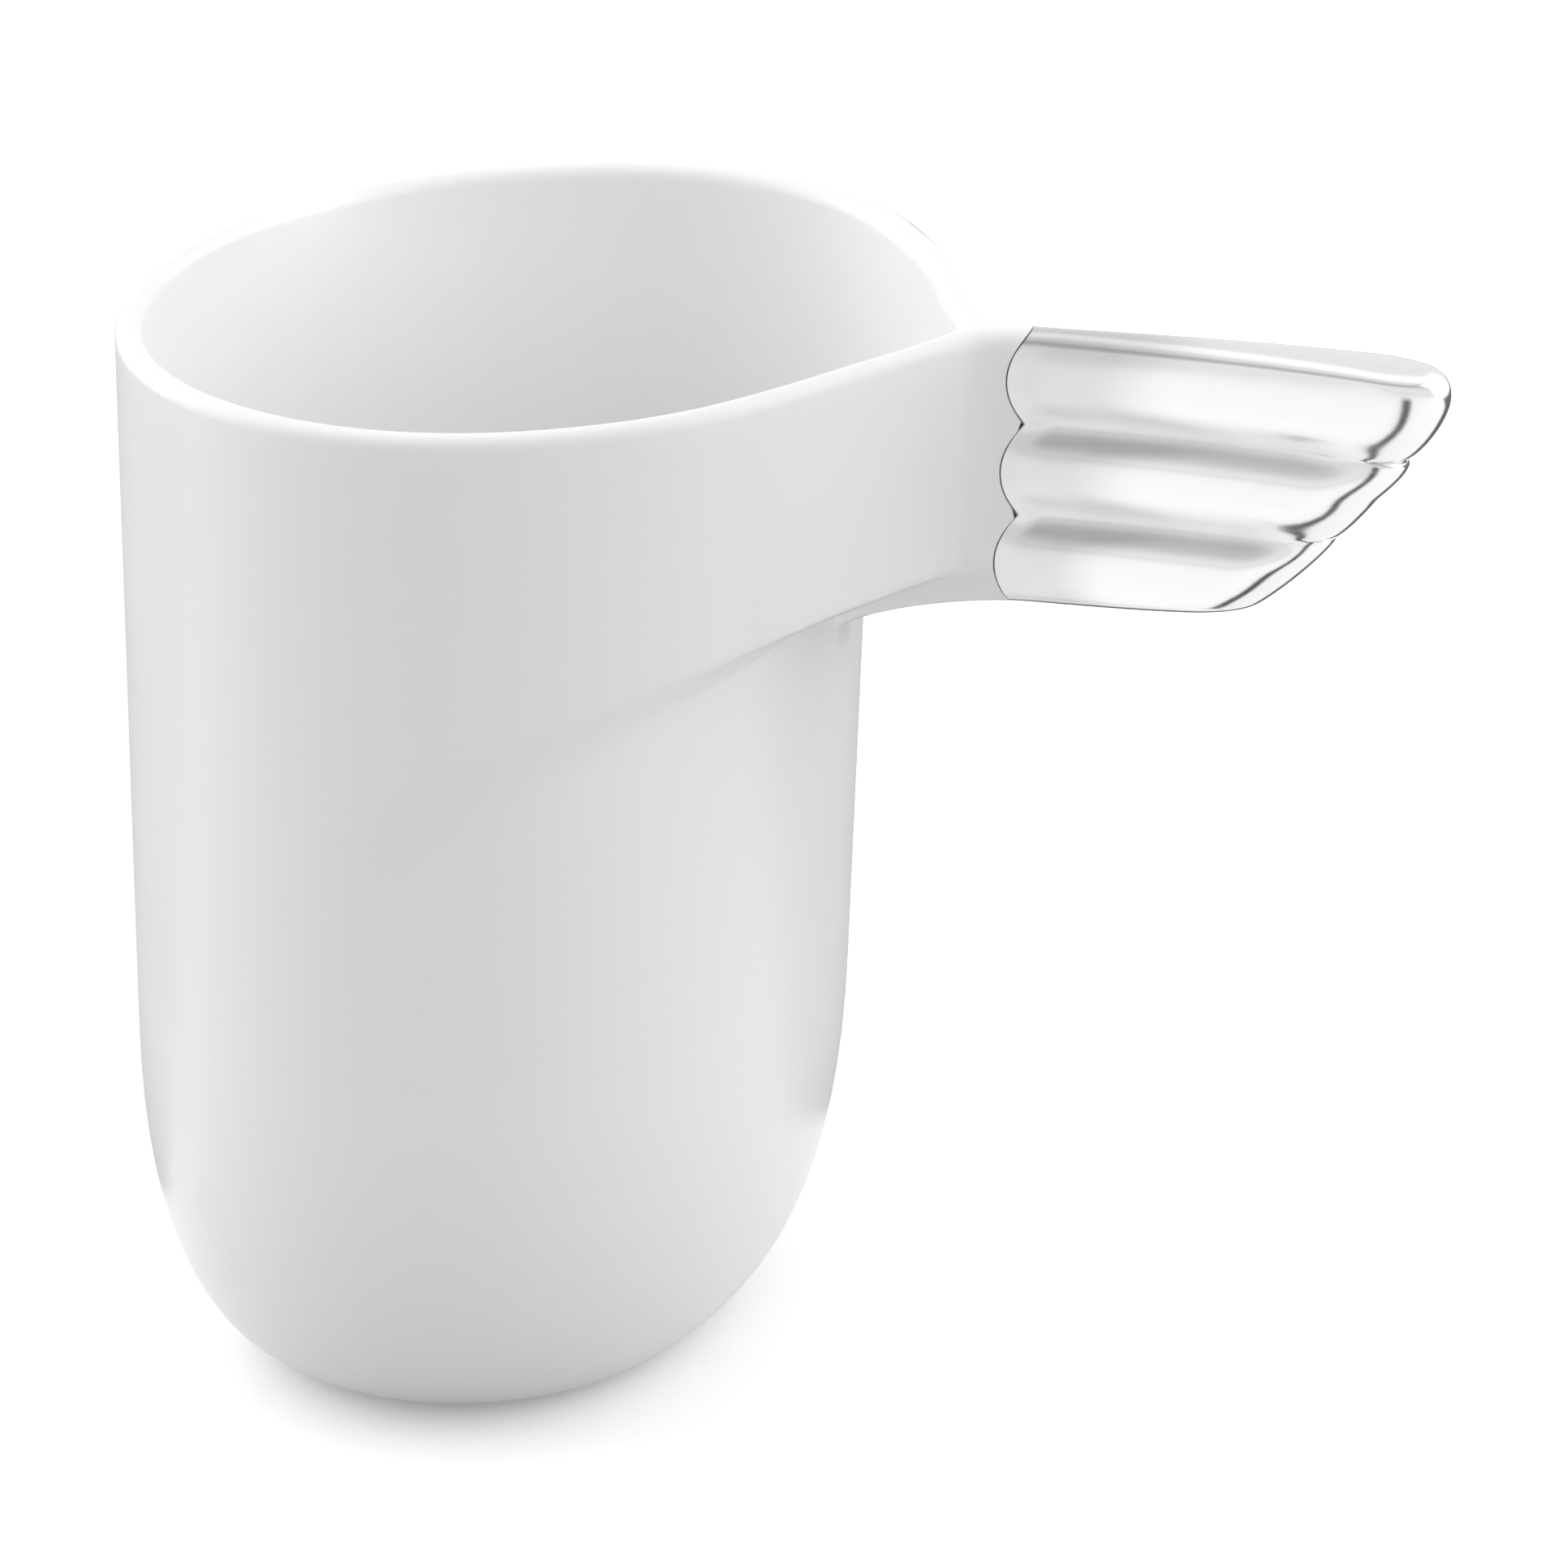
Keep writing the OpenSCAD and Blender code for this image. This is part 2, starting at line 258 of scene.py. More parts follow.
def front_share(angle):
    """1 on the front of the body, between the handle and the side, and 0 elsewhere."""
    degrees = np.degrees(angle)
    starts = smooth((degrees - TUCK_ENDS[0]) / TUCK_FADES[0])
    ends = smooth((degrees - TUCK_ENDS[1]) / TUCK_FADES[1])
    return starts * (1 - ends)


def bulge(s, angle, z):
    """How far the collar stands off the body. Just below the crease the front of the body is drawn in."""
    below = crease_height(s, angle) - z
    on = smooth(0.5 - below / crease_blend(s, angle))
    tuck = s.collar_tuck * front_share(angle) * np.exp(-np.maximum(0, below) / TUCK_DEPTH)
    return s.nose_reach * rim_share(angle) * on - tuck * (1 - on)


def outer_radius(s, angle, z):
    return low_radius(s, z) * oval(s, angle) + bulge(s, angle, z)


def inner_radius(s, angle, z):
    """Radius inside. The collar starts a wall's thickness higher, so the crease is as thick as the wall."""
    return (low_radius(s, z - s.floor) - s.wall) * oval(s, angle) + bulge(s, angle, z - s.wall)


SOFT_CAP = 40


def soft_max(a, b, softness):
    """The higher of a and b, blended softly. It stops SOFT_CAP times softness above b, outside the cup."""
    return b + softness * np.log1p(np.exp(np.minimum(SOFT_CAP, (a - b) / softness)))


def soft_min(a, b, softness):
    """The lower of a and b, with a rounded blend within softness of where they cross."""
    near = np.maximum(softness - np.abs(a - b), 0) / softness
    return np.minimum(a, b) - near**3 * softness / 6


def rounded_corner(a, b, radius):
    """Distance field of the solid below both a and b, with its edge rounded."""
    a = a + radius
    b = b + radius
    return np.hypot(np.maximum(a, 0), np.maximum(b, 0)) + np.minimum(np.maximum(a, b), 0) - radius


def quarter_round(distance, radius):
    return np.sqrt(np.maximum(0, 1 - (1 - np.clip(distance / radius, 0, 1)) ** 2))


def seam_start(s):
    return s.body_radius * oval(s, 0) + s.nose_reach + s.root_length


def in_feather(share):
    """Position within a feather: -1 and 1 at its edges, 0 along its middle."""
    across = np.clip(share, 0, 1) * FEATHERS
    return 2 * (across - feather_number(share)) - 1


def feather_number(share):
    return np.minimum(FEATHERS - 1, np.floor(np.clip(share, 0, 1) * FEATHERS)).astype(int)


def seam_x(s, wing, share):
    """The scalloped seam at a share of the depth below the rim."""
    return seam_start(s) - SEAM_LEAN * np.clip(share, 0, 1) + wing.scallop * in_feather(share) ** 2


def seam_at_height(s, wing, z):
    return seam_x(s, wing, (s.height - z) / s.root_height)


def nose_wall(s, side):
    """The straight wall beside the nose: where it meets the handle's axis, and its slope."""
    near, far = outer_radius(s, side * np.array([NOSE_NEAR, NOSE_FAR]), s.height)
    x0, y0 = near * math.cos(NOSE_NEAR), near * math.sin(NOSE_NEAR)
    x1, y1 = far * math.cos(NOSE_FAR), far * math.sin(NOSE_FAR)
    slope = (y1 - y0) / max((y1 - y0) / STEEPEST_WALL, x0 - x1)
    return x0 + y0 / slope - ROOT_SINK, slope


def root_side(s, x, z, side):
    meets, slope = nose_wall(s, side)
    back = meets - outer_radius(s, 0, s.height) + outer_radius(s, 0, z) - x
    wall = back * slope - WALL_SINK * np.maximum(0, back - WALL_RUN)
    return soft_max(wall, s.root_thickness / 2, s.root_hollow)


def root_start(s):
    return outer_radius(s, 0, s.height - s.root_height - s.root_flare) - ROOT_BITE


def root_bottom(s, x):
    along = np.clip((x - root_start(s)) / (seam_start(s) + ROOT_RUN - root_start(s)), 0, 1)
    return s.height - s.root_height - s.root_flare * (1 - along) ** 2


def porcelain_field(s, points):
    """Distance field of the cup's outside: body and root, joined softly, under a rounded top edge."""
    x, y, z = points.T
    body = np.hypot(x, y) - outer_radius(s, np.arctan2(y, x), z)
    half = np.where(y < 0, root_side(s, x, z, -1), root_side(s, x, z, 1))
    root = rounded_corner(np.abs(y) - half, root_bottom(s, x) - z, s.root_thickness / 2)
    root = np.maximum(root, root_start(s) - x)
    thickened = smooth((x / seam_start(s) - EDGE_THICKENS) / EDGE_THICKENS_OVER)
    edge = mix(s.wall / 2, s.root_thickness / 2, thickened)
    return rounded_corner(soft_min(body, root, s.root_fillet), z - s.height, edge)


# Distance over which the field's slope is taken, the least square of a slope, and the longest single move
PROBE, LEAST_SLOPE, LONGEST_MOVE = 0.02 * MM, 0.05, 0.8 * MM


def settle(s, grid, held=None, rounds=7):
    """Moves points straight onto the porcelain's surface. held marks the coordinates that stay."""
    points = grid.reshape(-1, 3)
    free = np.ones_like(points) if held is None else 1.0 - held.reshape(-1, 3)
    for _ in range(rounds):
        value = porcelain_field(s, points)
        steps = np.eye(3) * PROBE
        rises = [porcelain_field(s, points + d) - porcelain_field(s, points - d) for d in steps]
        slope = np.stack([rise / (2 * PROBE) for rise in rises], axis=1)
        slope *= free
        size = np.maximum((slope**2).sum(1), LEAST_SLOPE)
        move = -(value / size)[:, None] * slope
        points = points + np.clip(move, -LONGEST_MOVE, LONGEST_MOVE)
    return points.reshape(grid.shape)


def even_out(s, grid, rounds, free_column=False):
    """Evens out a grid on the surface, in place. Its edges stay, or all but its first column."""
    first = 0 if free_column else 1
    for _ in range(rounds):
        eased = grid.copy()
        mean = (grid[2:, 1:-1] + grid[:-2, 1:-1] + grid[1:-1, 2:] + grid[1:-1, :-2]) / 4
        eased[1:-1, 1:-1] = mix(grid[1:-1, 1:-1], mean, 0.5)
        if free_column:
            eased[1:-1, 0] = mix(grid[1:-1, 0], (grid[2:, 0] + grid[:-2, 0]) / 2, 0.5)
        grid[1:-1, first:-1] = settle(s, eased, None, 3)[1:-1, first:-1]


# --- The cup's mesh ---

# Columns run from the seam round to the back of the body, and rows from the foot up over the rim

ROOT_COLUMNS = 9
BODY_COLUMNS = 100
ROUND_ROWS = 18
WALL_ROWS = 12
CREASE_ROWS = 24
INNER_CREASE_ROWS = 18
COLLAR_ROWS = 12
EDGE_ROWS = 9
# Points up the quarter round along the root's bottom edge
ROOT_TURN_POINTS = 10
# Shares of the floor's radius at which it has a ring of points
FLOOR_RINGS = (0.8, 0.5, 0.25, 0)
# Above the wall the first column stands at this angle, which it reaches over this many rows
NOSE_ANGLE = math.radians(4.5)
TURN_ROWS = 10
# The crease's close rows reach this share of its blend above and below it
CLOSE_ROWS_REACH = 0.6
# Going round from the nose, the wall's top row leaves the root within a ninth of the way, and the top edge
# thins to the wall's within a fortieth
ROOT_LEAVE, EDGE_THIN = 9, 40
LEAST_EDGE = 0.2 * MM
# Rows and columns at the nose that are evened out before the root is joined on, and how often
NOSE_ROWS, NOSE_COLUMNS, NOSE_ROUNDS = TURN_ROWS + 6, 8, 12
# Rows above the wall that are evened out afterwards, and how often
RELAX_ROWS, RELAX_ROUNDS = 34, 30
MERGE_DISTANCE = 0.002 * MM
# Edges where the surface turns by more than this stay crisp
SHARP = math.radians(50)


def body_shares():
    """Shares of the way round from the nose to the back: closer together near the nose."""
    t = np.linspace(0, 1, BODY_COLUMNS + 1)
    return 0.45 * t + 0.55 * t * t


def polar(radius, angle, z):
    return np.stack(np.broadcast_arrays(radius * np.cos(angle), radius * np.sin(angle), z), axis=-1)


def foot_rows(s, angle):
    """Rows from the middle of the foot's hollow out over the unglazed foot ring."""
    edge = low_radius(s, 0)
    inner = edge - s.foot_width
    recess = s.foot_recess
    profile = (
        (0, recess), (0.4 * inner, recess), (0.8 * inner, recess),
        (inner - 1.5 * MM, recess), (inner - 1.0 * MM, 0.93 * recess), (inner - 0.6 * MM, 0.7 * recess),
        (inner - 0.3 * MM, 0.35 * recess), (inner, 0.08 * recess),
        (inner + 0.4 * MM, 0), (inner + 1.7 * MM, 0),
    )
    return [polar(r * oval(s, angle), angle, z) for r, z in profile]


def rounding_rows(s, angle, lift, wall, rows):
    """Rows up the rounding between foot and wall, evenly spaced round its curve."""
    made = []
    for turn in np.linspace(math.pi / 2, 0, rows):
        z = s.base_round_height * (1 - math.sin(turn) ** (2 / BASE_POWER))
        made.append(polar((low_radius(s, z) - wall) * oval(s, angle), angle, z + lift))
    return made


def root_junction(s):
    """The point below the nose where the root's bottom edge meets the body."""
    x = outer_radius(s, 0, s.height - s.root_height - s.root_flare) + MM
    start = np.array([[x, 0.0, root_bottom(s, x) - MM]])
    return settle(s, start, np.array([[0, 1, 0]]), 20)[0]


def wall_rows(s, angle, line):
    """Rows from the middle of the foot up the wall, as far as the first row below the line."""
    rows = foot_rows(s, angle) + rounding_rows(s, angle, 0, 0, ROUND_ROWS)
    for k in range(1, WALL_ROWS):
        z = mix(s.base_round_height, line, k / WALL_ROWS)
        rows.append(polar(outer_radius(s, angle, z), angle, z))
    return np.stack(rows)


def collar_rows(s, low_angle, high_angle, line, junction):
    """Rows from the line over the crease and up the collar. Over the first rows the columns turn."""
    shares = body_shares()
    edge = mix(s.wall / 2, s.root_thickness / 2, smooth(1 - shares * EDGE_THIN))
    top = crease_height(s, high_angle) + CLOSE_ROWS_REACH * crease_blend(s, high_angle)
    rows = []
    for k in range(CREASE_ROWS + COLLAR_ROWS + 1):
        turned = smooth(k / TURN_ROWS)
        angle = mix(low_angle, high_angle, turned)
        if k <= CREASE_ROWS:
            z = mix(line, top, k / CREASE_ROWS)
        else:
            z = mix(top, s.height - edge, (k - CREASE_ROWS) / COLLAR_ROWS)
        row = polar(outer_radius(s, angle, z), angle, z)
        if k < TURN_ROWS:
            full = mix(line[0], top[0], TURN_ROWS / CREASE_ROWS)
            far = polar(outer_radius(s, high_angle[0], full), high_angle[0], full)
            row[0] = mix(junction, far, turned)
        rows.append(row)
    rows = np.stack(rows)
    held = np.zeros_like(rows)
    held[0, 0, 1] = 1
    held[:, -1, 1] = 1
    rows = settle(s, rows, held)
    even_out(s, rows[:NOSE_ROWS, :NOSE_COLUMNS], NOSE_ROUNDS, free_column=True)
    return rows


def root_columns(s, wing, side, nose):
    """Columns from the seam along the root, up to the column of points at the nose."""
    count = len(nose)
    along = np.linspace(0, 1, ROOT_COLUMNS + 1)[:-1]
    radius = s.root_thickness / 2
    turn = radius * (1 - np.cos(np.linspace(0, math.pi / 2, ROOT_TURN_POINTS)))
    straight = np.linspace(0, 1, count - ROOT_TURN_POINTS + 1)[1:]
    steps = np.concatenate([turn, radius + (s.root_height - s.root_thickness) * straight])
    root = np.zeros((count, ROOT_COLUMNS, 3))
    for k, end in enumerate(nose):
        z = mix(s.height - s.root_height + steps[k], end[2], along**2)
        x = mix(seam_at_height(s, wing, z) - s.seal, end[0], along)
        floor = root_bottom(s, x)
        z = np.maximum(z, floor) if k else floor
        y = side * root_side(s, x, z, side) * quarter_round(z - floor, radius)
        root[k] = np.stack([x, y, z], axis=-1)
    held = np.zeros_like(root)
    held[0, :, 1] = 1
    held[:, 0, 0] = 1
    for _ in range(3):
        root = settle(s, root, held)
        root[:, 0, 0] = seam_at_height(s, wing, root[:, 0, 2]) - s.seal
    return root


def edge_rows(s, wing, angle, outer):
    """Rows from the outside up to the crest of the rim, or to the middle of the root."""
    lip = s.wall / 2
    along = np.linspace(0, 1, ROOT_COLUMNS + 1)[:-1]
    crest = polar(inner_radius(s, angle, s.height - lip) + lip, angle, s.height)
    middle = np.zeros((ROOT_COLUMNS, 3))
    middle[:, 0] = mix(seam_at_height(s, wing, s.height) - s.seal, crest[0, 0], along)
    middle[:, 2] = s.height
    target = np.concatenate([middle, crest])
    edge = np.maximum(s.height - outer[:, 2], LEAST_EDGE)
    span = np.hypot(*(target - outer)[:, :2].T)
    rows = []
    for k in range(1, EDGE_ROWS + 1):
        inset = span * (1 - math.cos(k / EDGE_ROWS * math.pi / 2))
        row = mix(outer, target, (inset / span)[:, None])
        row[:, 2] = s.height - edge + edge * quarter_round(inset, edge)
        rows.append(row)
    rows = np.stack(rows)
    held = np.zeros_like(rows)
    held[:, 0, 0] = 1
    held[:, -1, 1] = 1
    held[-1] = 1
    held[-1, :ROOT_COLUMNS, 2] = 0
    rows = settle(s, rows, held)
    rows[:, 0, 0] = seam_at_height(s, wing, rows[:, 0, 2]) - s.seal
    return rows


def inside_rows(s, angle):
    """Rows from the crest of the rim down the inside to the middle of the floor."""
    lip = s.wall / 2
    rows = []
    for k in range(1, EDGE_ROWS):
        turn = math.pi / 2 * (1 - k / EDGE_ROWS)
        ring = inner_radius(s, angle, s.height - lip) + lip * (1 - math.cos(turn))
        rows.append(polar(ring, angle, s.height - lip + lip * math.sin(turn)))
    crease = crease_height(s, angle) + s.wall
    reach = CLOSE_ROWS_REACH * crease_blend(s, angle)
    stops = (
        (s.height - lip, crease + reach, COLLAR_ROWS),
        (crease + reach, crease - reach, INNER_CREASE_ROWS),
        (crease - reach, s.base_round_height + s.floor, WALL_ROWS),
    )
    for start, end, count in stops:
        for k in range(count):
            z = mix(start, end, k / count)
            rows.append(polar(inner_radius(s, angle, z), angle, z))
    rows += rounding_rows(s, angle, s.floor, s.wall, ROUND_ROWS)[::-1]
    for share in FLOOR_RINGS:
        rows.append(polar((low_radius(s, 0) - s.wall) * share * oval(s, angle), angle, s.floor))
    return np.stack(rows)


def cup_side(s, wing, side):
    """One side of the cup as rows of columns: the wall, the collar with the root and top edge, the inside.
    Only the collar's rows have the root's columns, before the body's."""
    shares = body_shares()
    low_angle = side * math.pi * shares
    high_angle = side * mix(NOSE_ANGLE, math.pi, shares)
    junction = root_junction(s)
    below_crease = crease_height(s, low_angle) - CLOSE_ROWS_REACH * crease_blend(s, low_angle)
    line = mix(junction[2], below_crease, smooth(shares * ROOT_LEAVE))
    collar = collar_rows(s, low_angle, high_angle, line, junction)
    collar = np.concatenate([root_columns(s, wing, side, collar[:, 0]), collar], axis=1)
    even_out(s, collar[:RELAX_ROWS], RELAX_ROUNDS)
    collar = np.concatenate([collar, edge_rows(s, wing, low_angle, collar[-1])])
    return wall_rows(s, low_angle, line), collar, inside_rows(s, low_angle)


def close_up(mesh, sharp):
    """Merges points that fall together, turns all faces outwards and keeps edges above an angle crisp."""
    work = bmesh.new()
    work.from_mesh(mesh)
    bmesh.ops.remove_doubles(work, verts=work.verts, dist=MERGE_DISTANCE)
    bmesh.ops.dissolve_degenerate(work, edges=work.edges, dist=MERGE_DISTANCE / 4)
    bmesh.ops.recalc_face_normals(work, faces=work.faces)
    work.to_mesh(mesh)
    work.free()
    mesh.shade_smooth()
    mesh.set_sharp_from_angle(angle=sharp)


def new_object(name, data):
    made = bpy.data.objects.new(name, data)
    bpy.context.scene.collection.objects.link(made)
    return made


class MeshParts:
    """Collects points and faces, and makes one closed mesh of them."""

    def __init__(self):
        self.points = []
        self.faces = []

    def add(self, points):
        start = len(self.points)
        shape = points.shape[:-1]
        self.points.extend(map(tuple, points.reshape(-1, 3)))
        return start + np.arange(int(np.prod(shape))).reshape(shape)

    def grid(self, index):
        """Faces between the rows and columns of an index table."""
        for a, b in zip(index[:-1], index[1:]):
            self.faces.extend(zip(a[:-1], a[1:], b[1:], b[:-1]))

    def build(self, name, sharp):
        mesh = bpy.data.meshes.new(name)
        mesh.from_pydata(self.points, [], [tuple(int(i) for i in f) for f in self.faces])
        close_up(mesh, sharp)
        return new_object(name, mesh)


def root_end(parts, s, front, back):
    """Closes the root at the seam, between its front and back edges, and draws the tang out of it."""
    heights = np.array([parts.points[i][2] for i in front])
    middle = s.height - s.root_height / 2
    inside = np.abs(heights - middle) < s.tang_height / 2
    low, high = np.flatnonzero(inside)[[0, -1]]
    half = s.tang_thickness / 2
    tip = seam_start(s) + s.tang_length
    loops = []
    for k in range(low, high + 1):
        near = (parts.points[front[k]][0] + parts.points[back[k]][0]) / 2
        z = heights[k]
        loops.append([(near, -half, z), (tip, -half, z), (tip, half, z), (near, half, z)])
    tang = parts.add(np.array(loops))
    for k in range(len(front) - 1):
        left = [front[k], front[k + 1]]
        right = [back[k + 1], back[k]]
        if low <= k < high:
            near, far = tang[k - low], tang[k - low + 1]
            parts.faces.append((front[k], near[0], far[0], front[k + 1]))
            parts.faces.append((near[3], back[k], back[k + 1], far[3]))
            parts.faces.extend((near[i], near[i + 1], far[i + 1], far[i]) for i in range(3))
        elif k == low - 1:
            parts.faces.append((front[k], back[k], back[k + 1], tang[0, 3], tang[0, 0], front[k + 1]))
        elif k == high:
            parts.faces.append((front[k], tang[-1, 0], tang[-1, 3], back[k], back[k + 1], front[k + 1]))
        else:
            parts.faces.append((*left, *right))
    parts.faces.append(tuple(tang[0]))
    parts.faces.append(tuple(tang[-1]))


def build_cup(s, wing):
    parts = MeshParts()
    ends = []
    for side in (-1, 1):
        low, up, down = (parts.add(rows) for rows in cup_side(s, wing, side))
        parts.grid(low)
        parts.grid(np.stack([low[-1], up[0, ROOT_COLUMNS:]]))
        parts.grid(up)
        parts.grid(np.stack([up[-1, ROOT_COLUMNS:], down[0]]))
        parts.grid(down)
        ends.append(up[:, 0])
    root_end(parts, s, *ends)
    return parts.build("cup_porcelain", SHARP)


SEAL_TURN_ROWS, SEAL_ROWS = 9, 60


def build_seal(s, wing):
    """The line of adhesive that fills the gap between porcelain and silver, a little below both."""
    turn = (1 - np.cos(np.linspace(0, math.pi / 2, SEAL_TURN_ROWS))) * s.root_thickness / 2 / s.root_height
    share = np.concatenate([turn, np.linspace(turn[-1], 1 - turn[-1], SEAL_ROWS)[1:-1], 1 - turn[::-1]])
    edge = np.minimum(share, 1 - share) * s.root_height
    half = (s.root_thickness / 2 - s.seal_inset) * quarter_round(edge, s.root_thickness / 2)
    z = s.height - s.seal_inset - share * (s.root_height - 2 * s.seal_inset)
    far = seam_at_height(s, wing, z)
    near = far - s.seal
    corners = [(near, -half, z), (far, -half, z), (far, half, z), (near, half, z), (near, -half, z)]
    parts = MeshParts()
    parts.grid(parts.add(np.stack([np.stack(c, axis=-1) for c in corners], axis=1)))
    return parts.build("seal_line", SHARP)


# --- The wing: a flat sheet that Geometry Nodes press into three feathers ---

# At the tip: how far down the wing each feather's corners lie, how far they reach, and how much further its
# middle does
TIP_DEPTH = ((0, 0.04), (1 / 3, 0.375), (2 / 3, 0.675), (1, 0.96))
TIP_REACH = ((0, 0.92), (1 / 3, 0.9), (2 / 3, 0.755), (1, 0.56))
TIP_BOW = ((1 / 6, 0.08), (1 / 2, 0.02), (5 / 6, 0.025))
# Share of the full groove depth at the seam, and along the wing's top and bottom edges
GROOVE_AT_SEAM = 0.45
GROOVE_AT_EDGE = 0.35
# Shares of the wing's length over which the grooves deepen, and over which they run out again
GROOVE_START, GROOVE_END = 0.08, (0.7, 1.0)
# Painted shade on the silver along the seam, where its reflection darkens, and the share of the length over
# which that clears
SEAM_SHADE, SEAM_SHADE_REACH = 1.3, 0.6
LOBE_POWER = 2.2
SWELL_POWER = 1.25
ALONG_ROWS, TIP_ROWS = 56, 16
EDGE_TURN_ROWS, SHARE_ROWS = 24, 72


def round_sums(name, distance, radius):
    """Sums that turn a distance from an edge into the share of thickness that a quarter round leaves."""
    return (
        (f"{name} turn", "DIVIDE", distance, radius),
        (f"{name} left", "SUBTRACT", 1, f"{name} turn"),
        (f"{name} in", "MAXIMUM", f"{name} left", 0),
        (f"{name} square", "MULTIPLY", f"{name} in", f"{name} in"),
        (f"{name} rest", "SUBTRACT", 1, f"{name} square"),
        (f"{name} round", "SQRT", f"{name} rest"),
    )


# The sums that place a point of the wing: a name, an operation, and what it works on.
# along, share and layer are the point's place on the flat sheet, and the rest are the tree's inputs.
WING_SUMS = (
    ("inset", "MULTIPLY", "layer", "Shell"),
    ("across", "MULTIPLY", "share", "Feathers"),
    ("whole", "FLOOR", "across"),
    ("last", "SUBTRACT", "Feathers", 1),
    ("number", "MINIMUM", "whole", "last"),
    ("part", "SUBTRACT", "across", "number"),
    ("in feather", "MULTIPLY_ADD", "part", 2, -1),
    ("square", "MULTIPLY", "in feather", "in feather"),
    # The scalloped seam and the bowed tip, and the point's place between them
    ("scallop", "MULTIPLY_ADD", "square", "Scallops", "Seam"),
    ("start", "MULTIPLY_ADD", "share", -SEAM_LEAN, "scallop"),
    ("under", "SUBTRACT", 1, "square"),
    ("bow", "SQRT", "under"),
    ("reach", "MULTIPLY_ADD", "bow", "tip bow", "tip reach"),
    ("tip", "MULTIPLY_ADD", "reach", "Length", "Seam"),
    ("end", "SUBTRACT", "tip", "inset"),
    ("span", "SUBTRACT", "end", "start"),
    ("x", "MULTIPLY_ADD", "span", "along", "start"),
    # Half thickness: the wing swells towards its tip, and is lower between the feathers
    ("swell", "POWER", "along", SWELL_POWER),
    ("gain", "SUBTRACT", "Tip half", "Seam half"),
    ("plain", "MULTIPLY_ADD", "swell", "gain", "Seam half"),
    ("grown", "MULTIPLY", "grow in", "grow out"),
    ("along share", "MULTIPLY_ADD", "grown", 1 - GROOVE_AT_SEAM, GROOVE_AT_SEAM),
    ("above", "SUBTRACT", 1, "share"),
    ("near edge", "MINIMUM", "share", "above"),
    ("middle", "GREATER_THAN", "near edge", 0.5 / FEATHERS),
    ("edge share", "MULTIPLY_ADD", "middle", 1 - GROOVE_AT_EDGE, GROOVE_AT_EDGE),
    ("angle", "MULTIPLY", "in feather", math.pi),
    ("wave", "COSINE", "angle"),
    ("valley", "MULTIPLY_ADD", "wave", -0.5, 0.5),
    ("lobe", "POWER", "valley", LOBE_POWER),
    ("both shares", "MULTIPLY", "along share", "edge share"),
    ("hollow", "MULTIPLY", "lobe", "both shares"),
    # dull is painted shade: the grooves, where tarnish also lies, and the silver along the seam are
    # darkened by the material
    ("dull", "MULTIPLY_ADD", "near seam", SEAM_SHADE, "hollow"),
    ("depth", "MULTIPLY", "hollow", "Grooves"),
    ("full", "SUBTRACT", "plain", "depth"),
    # Quarter rounds along the top and bottom edges and at the tip
    ("edge", "MULTIPLY", "near edge", "Height"),
    *round_sums("edge", "edge", "Edge rounding"),
    ("to tip", "SUBTRACT", "end", "x"),
    *round_sums("tip", "to tip", "Tip rounding"),
    ("rounded", "MULTIPLY", "edge round", "tip round"),
    ("half", "MULTIPLY", "full", "rounded"),
    ("half inside", "SUBTRACT", "half", "inset"),
    ("half left", "MAXIMUM", "half inside", 0),
    ("y", "MULTIPLY", "half left", "Side"),
    # Height: each feather slopes from its place at the seam to its place at the tip
    ("cube", "POWER", "along", 3),
    ("sag", "SUBTRACT", "tip depth", "share"),
    ("down", "MULTIPLY_ADD", "sag", "cube", "share"),
    ("inner height", "MULTIPLY_ADD", "inset", -2, "Height"),
    ("below", "MULTIPLY_ADD", "down", "inner height", "inset"),
    ("z", "SUBTRACT", "Top", "below"),
)
WING_INPUTS = (
    "Top", "Height", "Seam", "Seam half", "Length", "Tip half", "Shell", "Grooves", "Tip rounding",
    "Edge rounding", "Scallops", "Feathers", "Side",
)


